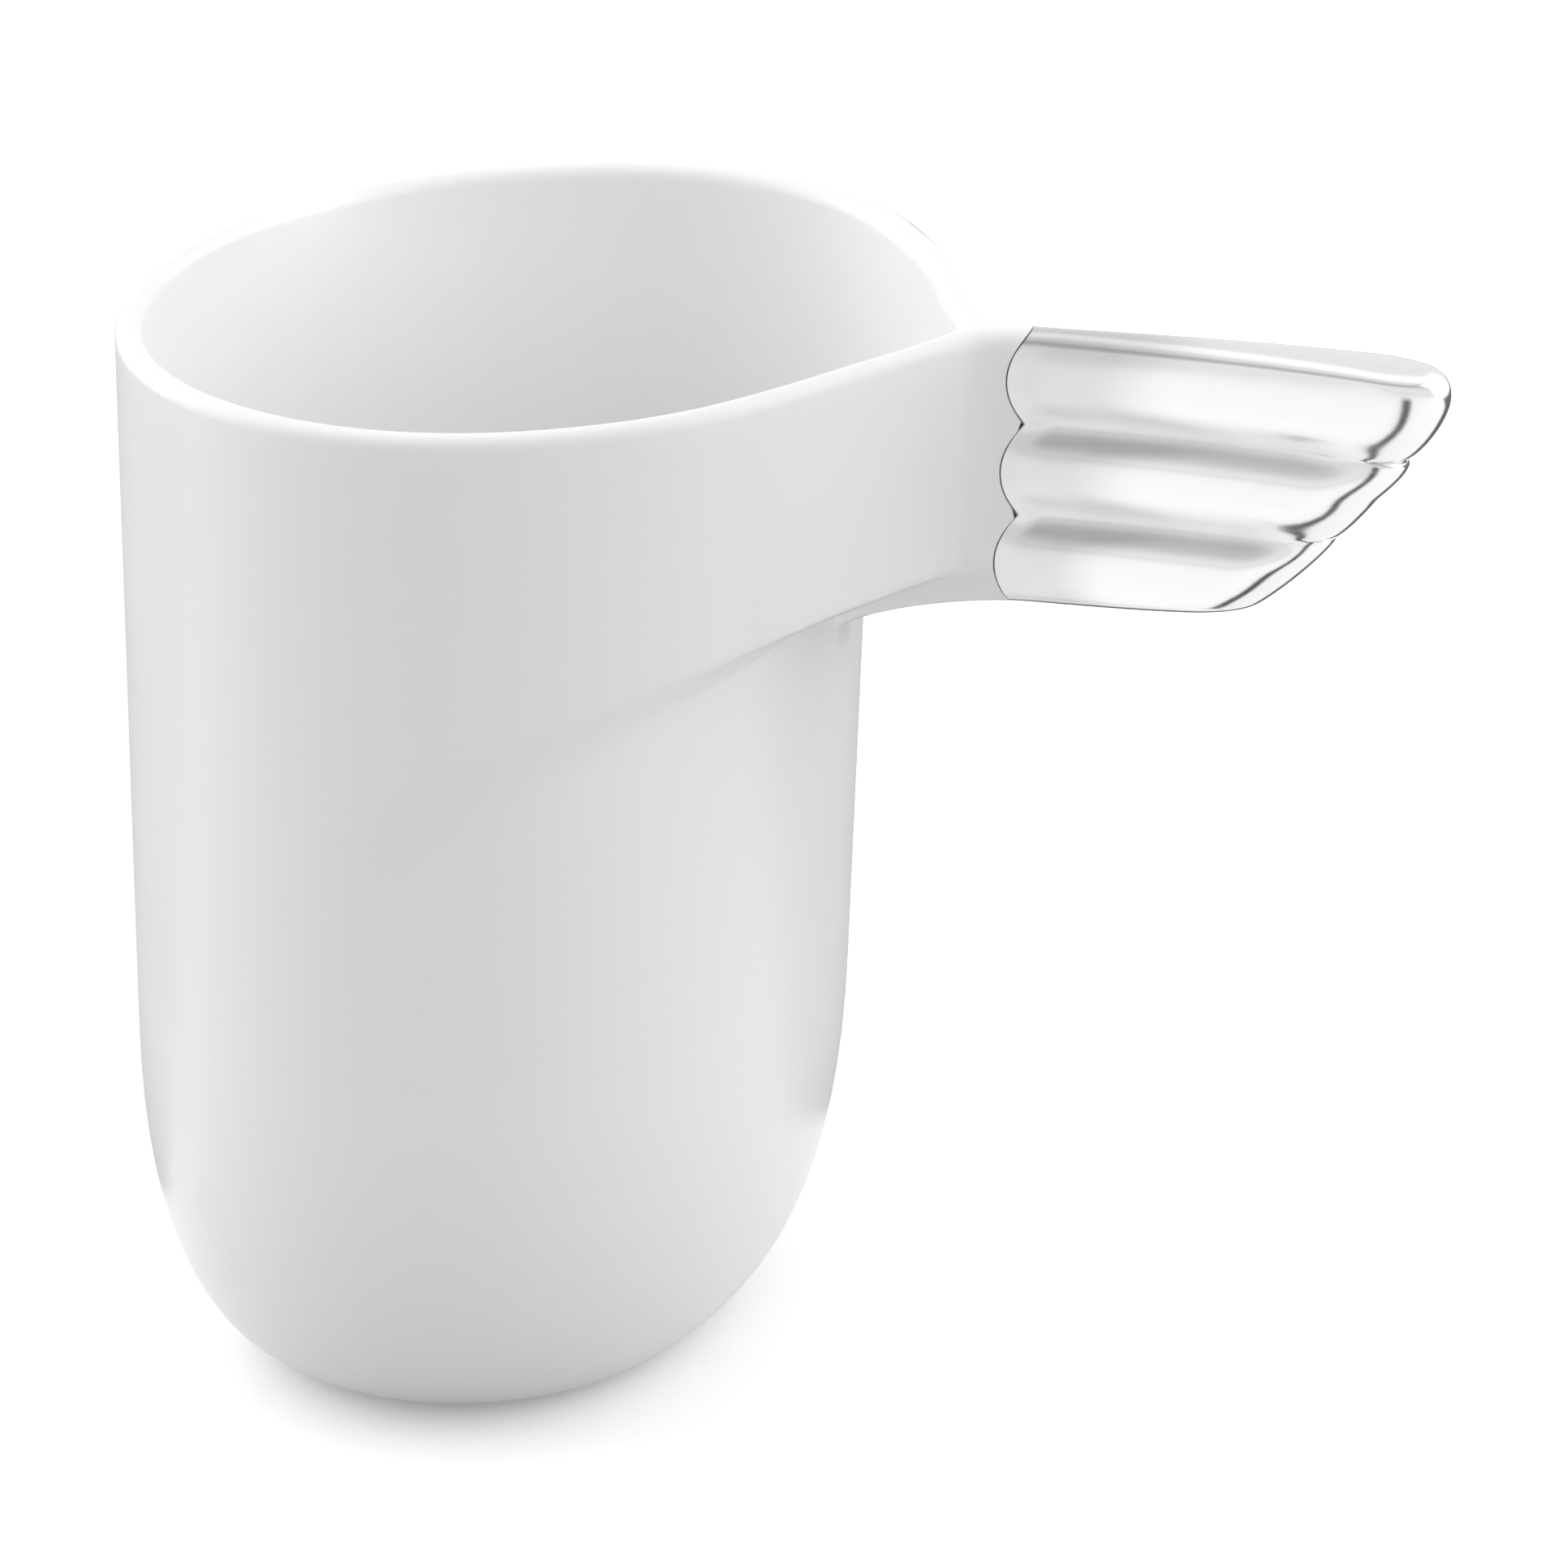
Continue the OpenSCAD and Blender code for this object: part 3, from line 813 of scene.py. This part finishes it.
def wing_tree():
    """The node tree that presses a flat sheet into either half of the wing."""
    tree = bpy.data.node_groups.new("wing_feathers", "GeometryNodeTree")
    tree.is_modifier = True
    tree.interface.new_socket("Geometry", in_out="OUTPUT", socket_type="NodeSocketGeometry")
    tree.interface.new_socket("Geometry", in_out="INPUT", socket_type="NodeSocketGeometry")
    for name in WING_INPUTS:
        tree.interface.new_socket(name, in_out="INPUT", socket_type="NodeSocketFloat")
    tree.interface.new_socket("Material", in_out="INPUT", socket_type="NodeSocketMaterial")
    given = add_node(tree, "NodeGroupInput").outputs
    place = add_node(tree, "GeometryNodeInputPosition")
    sheet = add_node(tree, "ShaderNodeSeparateXYZ", {"Vector": place}).outputs
    known = {name: given[name] for name in WING_INPUTS}
    known.update({"along": sheet["X"], "share": sheet["Y"], "layer": sheet["Z"]})
    for name, stops in (("tip depth", TIP_DEPTH), ("tip reach", TIP_REACH), ("tip bow", TIP_BOW)):
        node = add_node(tree, "ShaderNodeFloatCurve", {"Value": known["share"]})
        curve = node.mapping.curves[0]
        curve.points[0].location = stops[0]
        curve.points[1].location = stops[-1]
        for stop in stops[1:-1]:
            curve.points.new(*stop)
        for point in curve.points:
            point.handle_type = "VECTOR"
        node.mapping.update()
        known[name] = node
    for name, start, end, first, last in (
        ("grow in", 0, GROOVE_START, 0, 1),
        ("grow out", *GROOVE_END, 1, 0),
        ("near seam", 0, SEAM_SHADE_REACH, 1, 0),
    ):
        known[name] = add_node(
            tree, "ShaderNodeMapRange",
            {"Value": known["along"], "From Min": start, "From Max": end, "To Min": first, "To Max": last},
            interpolation_type="SMOOTHSTEP",
        )
    for name, operation, *terms in WING_SUMS:
        terms = {i: known.get(term, term) for i, term in enumerate(terms)}
        known[name] = add_node(tree, "ShaderNodeMath", terms, operation=operation)
    # The painted shade of the grooves and the seam is stored in the groove attribute
    shade_stored = add_node(
        tree, "GeometryNodeStoreNamedAttribute",
        {"Geometry": given["Geometry"], "Name": "groove", "Value": known["dull"]},
        data_type="FLOAT", domain="POINT",
    )
    position = add_node(tree, "ShaderNodeCombineXYZ", {"X": known["x"], "Y": known["y"], "Z": known["z"]})
    pressed = add_node(tree, "GeometryNodeSetPosition", {"Geometry": shade_stored, "Position": position})
    real = add_node(tree, "GeometryNodeRealizeInstances", {"Geometry": pressed})
    coated = add_node(tree, "GeometryNodeSetMaterial", {"Geometry": real, "Material": given["Material"]})
    add_node(tree, "NodeGroupOutput", {"Geometry": coated})
    return tree


def around_edge(index):
    """The edge of an index table, once round."""
    return np.concatenate([index[:-1, 0], index[-1, :-1], index[:0:-1, -1], index[0, ::-1]])


def wing_sheet(wing, root_height, inside_only):
    """A flat double sheet, one unit each way: along the wing, down its depth, and from out to in."""
    turn = 1 - np.cos(np.linspace(0, math.pi / 2, TIP_ROWS))
    end = 1 - turn * wing.tip_round / wing.wing_length
    along = np.concatenate([np.linspace(0, end[-1], ALONG_ROWS)[:-1], end[::-1]])
    turn = (1 - np.cos(np.linspace(0, math.pi / 2, EDGE_TURN_ROWS))) * wing.edge_round / root_height
    middle = np.linspace(turn[-1], 1 - turn[-1], SHARE_ROWS)[1:-1]
    valleys = np.arange(1, FEATHERS) / FEATHERS
    share = np.unique(np.concatenate([turn, middle, valleys, 1 - turn]))
    along, share = np.meshgrid(along, share, indexing="ij")
    parts = MeshParts()
    inner = parts.add(np.stack([along, share, np.ones_like(along)], axis=-1))
    parts.grid(inner[::-1])
    if not inside_only:
        outer = parts.add(np.stack([along, share, np.zeros_like(along)], axis=-1))
        parts.grid(outer)
        parts.grid(np.stack([around_edge(inner), around_edge(outer)]))
    mesh = bpy.data.meshes.new("wing_sheet")
    mesh.from_pydata(parts.points, [], [tuple(int(i) for i in face) for face in parts.faces])
    return mesh


def press_wing(s, wing, tree, material, side, inside_only=False):
    """One half of the wing: the flat sheet pressed by the node tree, then made a plain mesh."""
    blank = new_object("wing_blank", wing_sheet(wing, s.root_height, inside_only))
    press = blank.modifiers.new("press", "NODES")
    press.node_group = tree
    values = {
        "Top": s.height,
        "Height": s.root_height,
        "Seam": seam_start(s),
        "Seam half": s.root_thickness / 2 + wing.proud,
        "Length": wing.wing_length,
        "Tip half": wing.tip_half,
        "Shell": wing.shell,
        "Grooves": wing.groove,
        "Tip rounding": wing.tip_round,
        "Edge rounding": wing.edge_round,
        "Scallops": wing.scallop,
        "Feathers": FEATHERS,
        "Side": side,
        "Material": material,
    }
    for socket in tree.interface.items_tree:
        if socket.name in values:
            value = values[socket.name]
            press[socket.identifier] = value if socket.name == "Material" else float(value)
    evaluated = blank.evaluated_get(bpy.context.evaluated_depsgraph_get())
    mesh = bpy.data.meshes.new_from_object(evaluated)
    bpy.data.objects.remove(blank)
    return mesh


def build_shell(s, wing, tree, silver, side, name):
    mesh = press_wing(s, wing, tree, silver, side)
    mesh.name = name
    close_up(mesh, SHARP)
    return new_object(name, mesh)


def build_filling(s, wing, tree, resin):
    """The filling between the shells: both their inner faces, closed at the seam. Faces with no thickness
    between them are left out."""
    work = bmesh.new()
    for side in (-1, 1):
        work.from_mesh(press_wing(s, wing, tree, resin, side, inside_only=True))
    flat = [face for face in work.faces if all(abs(vert.co.y) < MERGE_DISTANCE for vert in face.verts)]
    bmesh.ops.delete(work, geom=flat, context="FACES")
    bmesh.ops.remove_doubles(work, verts=work.verts, dist=MERGE_DISTANCE)
    bmesh.ops.holes_fill(work, edges=[edge for edge in work.edges if edge.is_boundary])
    bmesh.ops.triangulate(work, faces=[face for face in work.faces if len(face.verts) > 4])
    mesh = bpy.data.meshes.new("wing_filling")
    work.to_mesh(mesh)
    work.free()
    mesh.materials.append(resin)
    close_up(mesh, SHARP)
    return new_object("wing_filling", mesh)


# --- Materials ---


def add_node(tree, kind, links=None, **settings):
    """Adds a node with its settings. links gives an input a value, a socket, or a node's first output."""
    node = tree.nodes.new(kind)
    for name, value in settings.items():
        setattr(node, name, value)
    for name, value in (links or {}).items():
        socket = node.inputs[name]
        if isinstance(value, bpy.types.Node):
            value = value.outputs[0]
        if isinstance(value, bpy.types.NodeSocket):
            tree.links.new(value, socket)
        else:
            socket.default_value = value
    return node


def new_material(name):
    material = bpy.data.materials.new(name)
    material.use_nodes = True
    tree = material.node_tree
    tree.nodes.clear()
    return material, tree


def per_mm(size):
    """Texture scale at which one feature is this many millimetres across, on coordinates in metres."""
    return 1 / (size * MM)


def glazed_porcelain(s):
    """Slip-cast porcelain under a clear fired glaze: white, softly glossy, with a faint ripple, a few iron
    specks, and a bare, matt foot ring where the glaze was wiped off before firing."""
    material, tree = new_material("porcelain_slip_cast_glazed")
    place = add_node(tree, "ShaderNodeTexCoord").outputs["Object"]
    # The glaze ran down while it was wet, so it lies thicker and cooler over the lowest 45 mm
    height = add_node(tree, "ShaderNodeSeparateXYZ", {"Vector": place})
    pooled = add_node(
        tree, "ShaderNodeMapRange", {"Value": height.outputs["Z"], "From Min": 45 * MM, "From Max": 0.0},
        interpolation_type="SMOOTHSTEP",
    )
    glaze = add_node(
        tree, "ShaderNodeMix", {0: pooled, 6: (*s.glaze_colour, 1), 7: (*s.pooled_colour, 1)},
        data_type="RGBA",
    )
    # Iron specks a quarter of a millimetre across, in about one in six cells of 8 mm
    cells = add_node(tree, "ShaderNodeTexVoronoi", {"Vector": place, "Scale": per_mm(8)})
    speck = add_node(
        tree, "ShaderNodeMapRange",
        {"Value": cells, "From Min": 0.008, "From Max": 0.02, "To Min": 1.0, "To Max": 0.0},
        interpolation_type="SMOOTHSTEP",
    )
    chance = add_node(tree, "ShaderNodeSeparateColor", {"Color": cells.outputs["Color"]})
    rare = add_node(tree, "ShaderNodeMath", {0: chance.outputs["Red"], 1: 0.84}, operation="GREATER_THAN")
    specks = add_node(tree, "ShaderNodeMath", {0: speck, 1: rare}, operation="MULTIPLY")
    faint = add_node(tree, "ShaderNodeMath", {0: specks, 1: 0.3}, operation="MULTIPLY")
    specked = add_node(
        tree, "ShaderNodeMix", {0: faint, 6: glaze.outputs[2], 7: (*s.speck_colour, 1)}, data_type="RGBA"
    )
    # The foot ring is bare below a ragged line about 0.3 mm above the ground
    grain = add_node(tree, "ShaderNodeTexNoise", {"Vector": place, "Scale": per_mm(0.5), "Detail": 4.0})
    ragged = add_node(
        tree, "ShaderNodeMath", {0: grain, 1: 0.2 * MM, 2: height.outputs["Z"]},
        operation="MULTIPLY_ADD",
    )
    bare = add_node(
        tree, "ShaderNodeMapRange",
        {"Value": ragged, "From Min": 0.35 * MM, "From Max": 0.5 * MM, "To Min": 1, "To Max": 0},
    )
    body = add_node(
        tree, "ShaderNodeMix", {0: bare, 6: specked.outputs[2], 7: (*s.foot_colour, 1)}, data_type="RGBA"
    )
    # Gloss varies slightly over the glaze, and the bare clay is matt
    breath = add_node(tree, "ShaderNodeTexNoise", {"Vector": place, "Scale": per_mm(12), "Detail": 0.0})
    gloss = add_node(tree, "ShaderNodeMapRange", {"Value": breath, "To Min": 0.29, "To Max": 0.34})
    rough = add_node(tree, "ShaderNodeMix", {0: bare, 2: gloss, 3: 0.85})
    # Orange-peel ripple about 2.5 mm across and 0.01 mm deep, and the grain of the bare clay
    peel = add_node(tree, "ShaderNodeTexNoise", {"Vector": place, "Scale": per_mm(2.5), "Detail": 1.0})
    ripple = add_node(tree, "ShaderNodeBump", {"Height": peel, "Strength": 1.0, "Distance": 0.01 * MM})
    pits = add_node(
        tree, "ShaderNodeBump",
        {"Height": specks, "Strength": 1.0, "Distance": 0.015 * MM, "Normal": ripple}, invert=True,
    )
    clay = add_node(tree, "ShaderNodeMath", {0: grain, 1: bare}, operation="MULTIPLY")
    gritty = add_node(
        tree, "ShaderNodeBump", {"Height": clay, "Strength": 1.0, "Distance": 0.05 * MM, "Normal": pits}
    )
    surface = add_node(
        tree, "ShaderNodeBsdfPrincipled",
        {"Base Color": body.outputs[2], "Roughness": rough, "IOR": 1.5, "Normal": gritty},
    )
    add_node(tree, "ShaderNodeOutputMaterial", {"Surface": surface})
    return material


def polished_silver(wing):
    """Silver plate on pressed brass, polished by hand: a bright mirror softened by fine rub marks, with
    grey tarnish left down in the grooves where a cloth doesn't reach, darkened further by painted shade
    there, and painted shade along the seam where the silver's reflection darkens."""
    material, tree = new_material("silver_plate_polished")
    place = add_node(tree, "ShaderNodeTexCoord").outputs["Object"]
    # The groove attribute carries the painted shade of the grooves and of the seam
    groove = add_node(tree, "ShaderNodeAttribute", attribute_name="groove")
    deep = add_node(
        tree, "ShaderNodeMapRange", {"Value": groove.outputs["Fac"], "From Min": 0.35, "From Max": 1.15},
        interpolation_type="SMOOTHSTEP",
    )
    # The painted shade and tarnish vary in soft patches about 5 mm long
    patches = add_node(tree, "ShaderNodeTexNoise", {"Vector": place, "Scale": per_mm(5), "Detail": 3.0})
    uneven = add_node(tree, "ShaderNodeMapRange", {"Value": patches, "To Min": 0.6, "To Max": 1.1})
    tarnish_and_shade = add_node(tree, "ShaderNodeMath", {0: deep, 1: uneven}, operation="MULTIPLY", use_clamp=True)
    metal = add_node(
        tree, "ShaderNodeMix", {0: tarnish_and_shade, 6: (*wing.silver_colour, 1), 7: (*wing.tarnish_and_shade_colour, 1)},
        data_type="RGBA",
    )
    # Rub marks run along the wing. They are 12 mm long, and drawn 0.3 mm wide so that they show
    stretched = add_node(
        tree, "ShaderNodeMapping", {"Vector": place, "Scale": (per_mm(12), per_mm(0.3), per_mm(0.3))}
    )
    marks = add_node(tree, "ShaderNodeTexNoise", {"Vector": stretched, "Scale": 1.0, "Detail": 2.0})
    marked = add_node(tree, "ShaderNodeMapRange", {"Value": marks, "To Min": 0.15, "To Max": 0.21})
    rough = add_node(tree, "ShaderNodeMath", {0: tarnish_and_shade, 1: 0.05, 2: marked}, operation="MULTIPLY_ADD")
    # Pressing and years of handling leave the surface very slightly wavy
    waves = add_node(tree, "ShaderNodeTexNoise", {"Vector": place, "Scale": per_mm(7), "Detail": 1.0})
    wavy = add_node(tree, "ShaderNodeBump", {"Height": waves, "Strength": 1.0, "Distance": 0.05 * MM})
    rubbed = add_node(
        tree, "ShaderNodeBump",
        {"Height": marks, "Strength": 1.0, "Distance": 0.0015 * MM, "Normal": wavy},
    )
    surface = add_node(
        tree, "ShaderNodeBsdfPrincipled",
        {"Base Color": metal.outputs[2], "Metallic": 1.0, "Roughness": rough, "Normal": rubbed},
    )
    add_node(tree, "ShaderNodeOutputMaterial", {"Surface": surface})
    return material


def mottled(name, light, dark, patch, grit, rough):
    """A dull material: its colour drifts between two tones in patches, over a fine grit, in millimetres."""
    material, tree = new_material(name)
    place = add_node(tree, "ShaderNodeTexCoord").outputs["Object"]
    tone = add_node(tree, "ShaderNodeTexNoise", {"Vector": place, "Scale": per_mm(patch), "Detail": 3.0})
    colours = add_node(tree, "ShaderNodeMix", {0: tone, 6: (*light, 1), 7: (*dark, 1)}, data_type="RGBA")
    fine = add_node(tree, "ShaderNodeTexNoise", {"Vector": place, "Scale": per_mm(grit), "Detail": 2.0})
    bump = add_node(
        tree, "ShaderNodeBump", {"Height": fine, "Strength": 1.0, "Distance": 0.03 * grit * MM}
    )
    surface = add_node(
        tree, "ShaderNodeBsdfPrincipled",
        {"Base Color": colours.outputs[2], "Roughness": rough, "Normal": bump},
    )
    add_node(tree, "ShaderNodeOutputMaterial", {"Surface": surface})
    return material


# --- Stage ---

# Where the camera stands, in metres, and its bearing, downward tilt and roll, in degrees
CAMERA_PLACE = (0.13073, -0.68852, 0.35254)
CAMERA_BEARING = 98.398
CAMERA_PITCH = 22.814
CAMERA_ROLL = 1.2216
SENSOR_WIDTH = 36
# Softboxes: name, turn in degrees from the camera's side, distance, height, and width in metres
TOP_LIGHT = ("softbox_top", 0, 0.02, 1.6, 1.8)
LEFT_LIGHT = ("softbox_left", -108, 1.2, 0.5, 1.8)
RIGHT_LIGHT = ("softbox_right", 100, 1.2, 0.5, 1.8)
# A small lamp over the mouth that shines straight down, so it lights only the inside
MOUTH_LIGHT = ("lamp_mouth", 0, 0, 0.112, 0.05)
LIGHTS_AIM = Vector((0, 0, 0.06))
# Cards that only reflections see: a strip off the wing's tip, as pairs of points from its top down, for the
# silver's dark stripe, and a sheet on the floor behind the mug for the porcelain's softer edges
CARD_LIFT = 0.4 * MM
TIP_BLACK, BEHIND_GREY = "141414", "5C5C5C"
TIP_CARD = (
    ((0.097, -0.029, 0.102), (0.102, -0.026, 0.102)),
    ((0.097, -0.029, 0.088), (0.102, -0.026, 0.088)),
    ((0.0895, -0.0255, 0.0745), (0.0945, -0.0225, 0.0725)),
    ((0.0785, -0.0235, 0.0655), (0.0835, -0.0185, 0.0625)),
    ((0.0685, -0.022, 0.060), (0.0735, -0.018, 0.0575)),
)
BEHIND_CARD = (
    (-0.6, -0.03), (-0.05, 0), (-0.03, 0.045), (0.03, 0.05), (0.06, 0.03), (0.12, 0.065),
    (0.2, 0.07), (0.27, 0.1), (0.6, 0.06), (0.6, 0.9), (-0.6, 0.9),
)


def build_camera(stage):
    bearing, pitch, roll = (math.radians(v) for v in (CAMERA_BEARING, CAMERA_PITCH, CAMERA_ROLL))
    level = Vector((math.cos(bearing), math.sin(bearing), 0))
    right = Vector((math.sin(bearing), -math.cos(bearing), 0))
    up = Vector((0, 0, 1))
    ahead = level * math.cos(pitch) - up * math.sin(pitch)
    above = level * math.sin(pitch) + up * math.cos(pitch)
    x_axis = right * math.cos(roll) + above * math.sin(roll)
    y_axis = above * math.cos(roll) - right * math.sin(roll)
    data = bpy.data.cameras.new("camera")
    data.lens = stage.lens
    data.sensor_width = SENSOR_WIDTH
    camera = new_object("camera", data)
    turn = Matrix((x_axis, y_axis, -ahead)).transposed().to_4x4()
    camera.matrix_world = Matrix.Translation(CAMERA_PLACE) @ turn
    bpy.context.scene.camera = camera


def stage_sheet(name, points, faces, material):
    """A thin sheet that belongs to the stage."""
    mesh = bpy.data.meshes.new(name)
    mesh.from_pydata(points, [], faces)
    mesh.materials.append(material)
    sheet = new_object(name, mesh)
    return sheet


def softbox(name, turn, distance, height, width, power):
    """A square light that faces the mug."""
    bearing = math.radians(CAMERA_BEARING + 180 + turn)
    place = Vector((distance * math.cos(bearing), distance * math.sin(bearing), height))
    light = bpy.data.lights.new(name, "AREA")
    light.shape = "SQUARE"
    light.size = width
    light.energy = power
    lamp = new_object(name, light)
    lamp.location = place
    lamp.rotation_euler = (LIGHTS_AIM - place).to_track_quat("-Z", "Y").to_euler()
    return lamp


def reflected_only(name, points, faces, code):
    """A card that only reflections see."""
    shade = mottled(name, linear(code), linear(code), 50, 1, 0.9)
    card = stage_sheet(name, points, faces, shade)
    card.visible_camera = False
    card.visible_diffuse = False
    card.visible_shadow = False


def brighten(tree, glow):
    """Shows the paper as bright white, with a faint glow, while it throws less light back at the mug."""
    path = add_node(tree, "ShaderNodeLightPath")
    shader = next(node for node in tree.nodes if node.bl_idname == "ShaderNodeBsdfPrincipled")
    tone = shader.inputs["Base Color"].links[0].from_socket
    white = add_node(
        tree, "ShaderNodeMix", {0: path.outputs["Is Diffuse Ray"], 6: (1, 1, 1, 1), 7: tone},
        data_type="RGBA",
    )
    tree.links.new(white.outputs[2], shader.inputs["Base Color"])
    added = add_node(
        tree, "ShaderNodeMapRange",
        {"Value": path.outputs["Is Diffuse Ray"], "To Min": glow, "To Max": 0.0},
    )
    shader.inputs["Emission Color"].default_value = (1, 1, 1, 1)
    tree.links.new(added.outputs["Result"], shader.inputs["Emission Strength"])


def build_world(stage):
    """White walls all round: bright to the camera and in reflections, and a gentler fill for all else.
    Reflections find the room dimmer above and behind the camera, where no lamp stands."""
    world = bpy.data.worlds.new("studio")
    bpy.context.scene.world = world
    world.use_nodes = True
    tree = world.node_tree
    tree.nodes.clear()
    path = add_node(tree, "ShaderNodeLightPath")
    way = add_node(tree, "ShaderNodeTexCoord").outputs["Generated"]
    bearing = math.radians(CAMERA_BEARING + 180)
    toward = (math.cos(bearing), math.sin(bearing), 0)
    front = add_node(tree, "ShaderNodeVectorMath", {0: way, 1: toward}, operation="DOT_PRODUCT")
    height = add_node(tree, "ShaderNodeSeparateXYZ", {"Vector": way})
    near = add_node(
        tree, "ShaderNodeMapRange", {"Value": front.outputs["Value"], "From Min": -0.15, "From Max": 0.3},
        interpolation_type="SMOOTHSTEP",
    )
    high = add_node(
        tree, "ShaderNodeMapRange", {"Value": height.outputs["Z"], "From Min": 0.1, "From Max": 0.6},
        interpolation_type="SMOOTHSTEP",
    )
    dim = add_node(tree, "ShaderNodeMath", {0: near, 1: high}, operation="MULTIPLY")
    level = add_node(tree, "ShaderNodeMapRange", {"Value": dim, "To Min": 1.0, "To Max": 0.6})
    mirrored = add_node(tree, "ShaderNodeBackground", {"Strength": level})
    around = add_node(tree, "ShaderNodeBackground", {"Strength": stage.fill})
    seen = add_node(tree, "ShaderNodeBackground", {"Strength": 1.0})
    for background in (mirrored, around, seen):
        background.inputs["Color"].default_value = (1, 1, 1, 1)
    unseen = add_node(
        tree, "ShaderNodeMixShader", {0: path.outputs["Is Glossy Ray"], 1: around, 2: mirrored}
    )
    walls = add_node(tree, "ShaderNodeMixShader", {0: path.outputs["Is Camera Ray"], 1: unseen, 2: seen})
    add_node(tree, "ShaderNodeOutputWorld", {"Surface": walls})


def build_stage(stage):
    bpy.context.scene.view_settings.view_transform = "Standard"
    build_camera(stage)
    half = stage.floor_size / 2
    paper = mottled("studio_paper", stage.floor_colour, stage.floor_colour, 400, 0.8, 0.9)
    brighten(paper.node_tree, stage.glow)
    corners = [(-half, -half, 0), (half, -half, 0), (half, half, 0), (-half, half, 0)]
    stage_sheet("floor", corners, [(0, 1, 2, 3)], paper)
    softbox(*TOP_LIGHT, stage.top_power)
    softbox(*LEFT_LIGHT, stage.left_power)
    softbox(*RIGHT_LIGHT, stage.right_power)
    lamp = softbox(*MOUTH_LIGHT, stage.mouth_power)
    lamp.visible_camera = False
    lamp.visible_glossy = False
    behind = [(x, y, CARD_LIFT) for x, y in BEHIND_CARD]
    reflected_only("card_behind", behind, [tuple(range(len(behind)))], BEHIND_GREY)
    strip = [point for pair in TIP_CARD for point in pair]
    panels = [(i, i + 1, i + 3, i + 2) for i in range(0, len(strip) - 2, 2)]
    reflected_only("card_tip", strip, panels, TIP_BLACK)
    build_world(stage)


# --- Operators, panel and registration ---


class SHAVING_MUG_OT_stage(bpy.types.Operator):
    """Set up the floor, the soft lights and the camera"""

    bl_idname = "shaving_mug.stage"
    bl_label = "Set Up Stage"

    def execute(self, context):
        build_stage(context.scene.mug_stage)
        return {"FINISHED"}


class SHAVING_MUG_OT_cup(bpy.types.Operator):
    """Build the porcelain cup with its handle root and tang"""

    bl_idname = "shaving_mug.cup"
    bl_label = "Build Cup"

    def execute(self, context):
        settings = context.scene.mug_cup
        cup = build_cup(settings, context.scene.mug_wing)
        cup.data.materials.append(glazed_porcelain(settings))
        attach(cup, "root")
        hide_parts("cup")
        return {"FINISHED"}


class SHAVING_MUG_OT_wing(bpy.types.Operator):
    """Press the two silver halves of the wing and fill them"""

    bl_idname = "shaving_mug.wing"
    bl_label = "Build Silver Wing"

    def execute(self, context):
        wing = context.scene.mug_wing
        silver = polished_silver(wing)
        tree = wing_tree()
        halves = ((-1, "wing_front", "wing_front_shell"), (1, "wing_back", "wing_back_shell"))
        for side, name, node in halves:
            shell = build_shell(context.scene.mug_cup, wing, tree, silver, side, name)
            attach(shell, "root")
            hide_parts(node)
        # Mineral-filled resin: brownish grey and matt, with a sandy grit
        brown = wing.filler_colour
        resin = mottled("resin_filler_cast", brown, tuple(0.7 * c for c in brown), 3, 0.4, 0.7)
        filling = build_filling(context.scene.mug_cup, wing, tree, resin)
        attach(filling, "root")
        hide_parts("wing_filler")
        bpy.data.node_groups.remove(tree)
        return {"FINISHED"}


class SHAVING_MUG_OT_joint(bpy.types.Operator):
    """Lay the adhesive line at the seam"""

    bl_idname = "shaving_mug.joint"
    bl_label = "Build Joint"

    def execute(self, context):
        settings = context.scene.mug_cup
        seal = build_seal(settings, context.scene.mug_wing)
        # Cured epoxy: grey and slightly dull, with a faint mottle
        grey = settings.seal_colour
        epoxy = mottled("epoxy_adhesive_cured", grey, tuple(0.8 * c for c in grey), 2, 0.2, 0.45)
        seal.data.materials.append(epoxy)
        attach(seal, "root")
        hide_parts("joint_seal")
        return {"FINISHED"}


class VIEW3D_PT_shaving_mug(bpy.types.Panel):
    """Lists the steps that build the shaving mug"""

    bl_label = "Shaving Mug"
    bl_space_type = "VIEW_3D"
    bl_region_type = "UI"
    bl_category = "Shaving Mug"

    def draw(self, context):
        for step in STEPS:
            self.layout.operator(step.bl_idname)
        for settings in (context.scene.mug_cup, context.scene.mug_wing, context.scene.mug_stage):
            box = self.layout.box()
            for name in settings.__annotations__:
                box.prop(settings, name)


STEPS = (SHAVING_MUG_OT_stage, SHAVING_MUG_OT_cup, SHAVING_MUG_OT_wing, SHAVING_MUG_OT_joint)
CLASSES = (MugCupSettings, MugWingSettings, MugStageSettings, *STEPS, VIEW3D_PT_shaving_mug)


def register():
    for cls in CLASSES:
        bpy.utils.register_class(cls)
    bpy.types.Scene.mug_cup = PointerProperty(type=MugCupSettings)
    bpy.types.Scene.mug_wing = PointerProperty(type=MugWingSettings)
    bpy.types.Scene.mug_stage = PointerProperty(type=MugStageSettings)


def unregister():
    for name in ("mug_cup", "mug_wing", "mug_stage"):
        delattr(bpy.types.Scene, name)
    for cls in reversed(CLASSES):
        bpy.utils.unregister_class(cls)


def main():
    register()
    bpy.ops.shaving_mug.stage()
    bpy.ops.shaving_mug.cup()
    bpy.ops.shaving_mug.wing()
    bpy.ops.shaving_mug.joint()


if __name__ == "__main__":
    main()
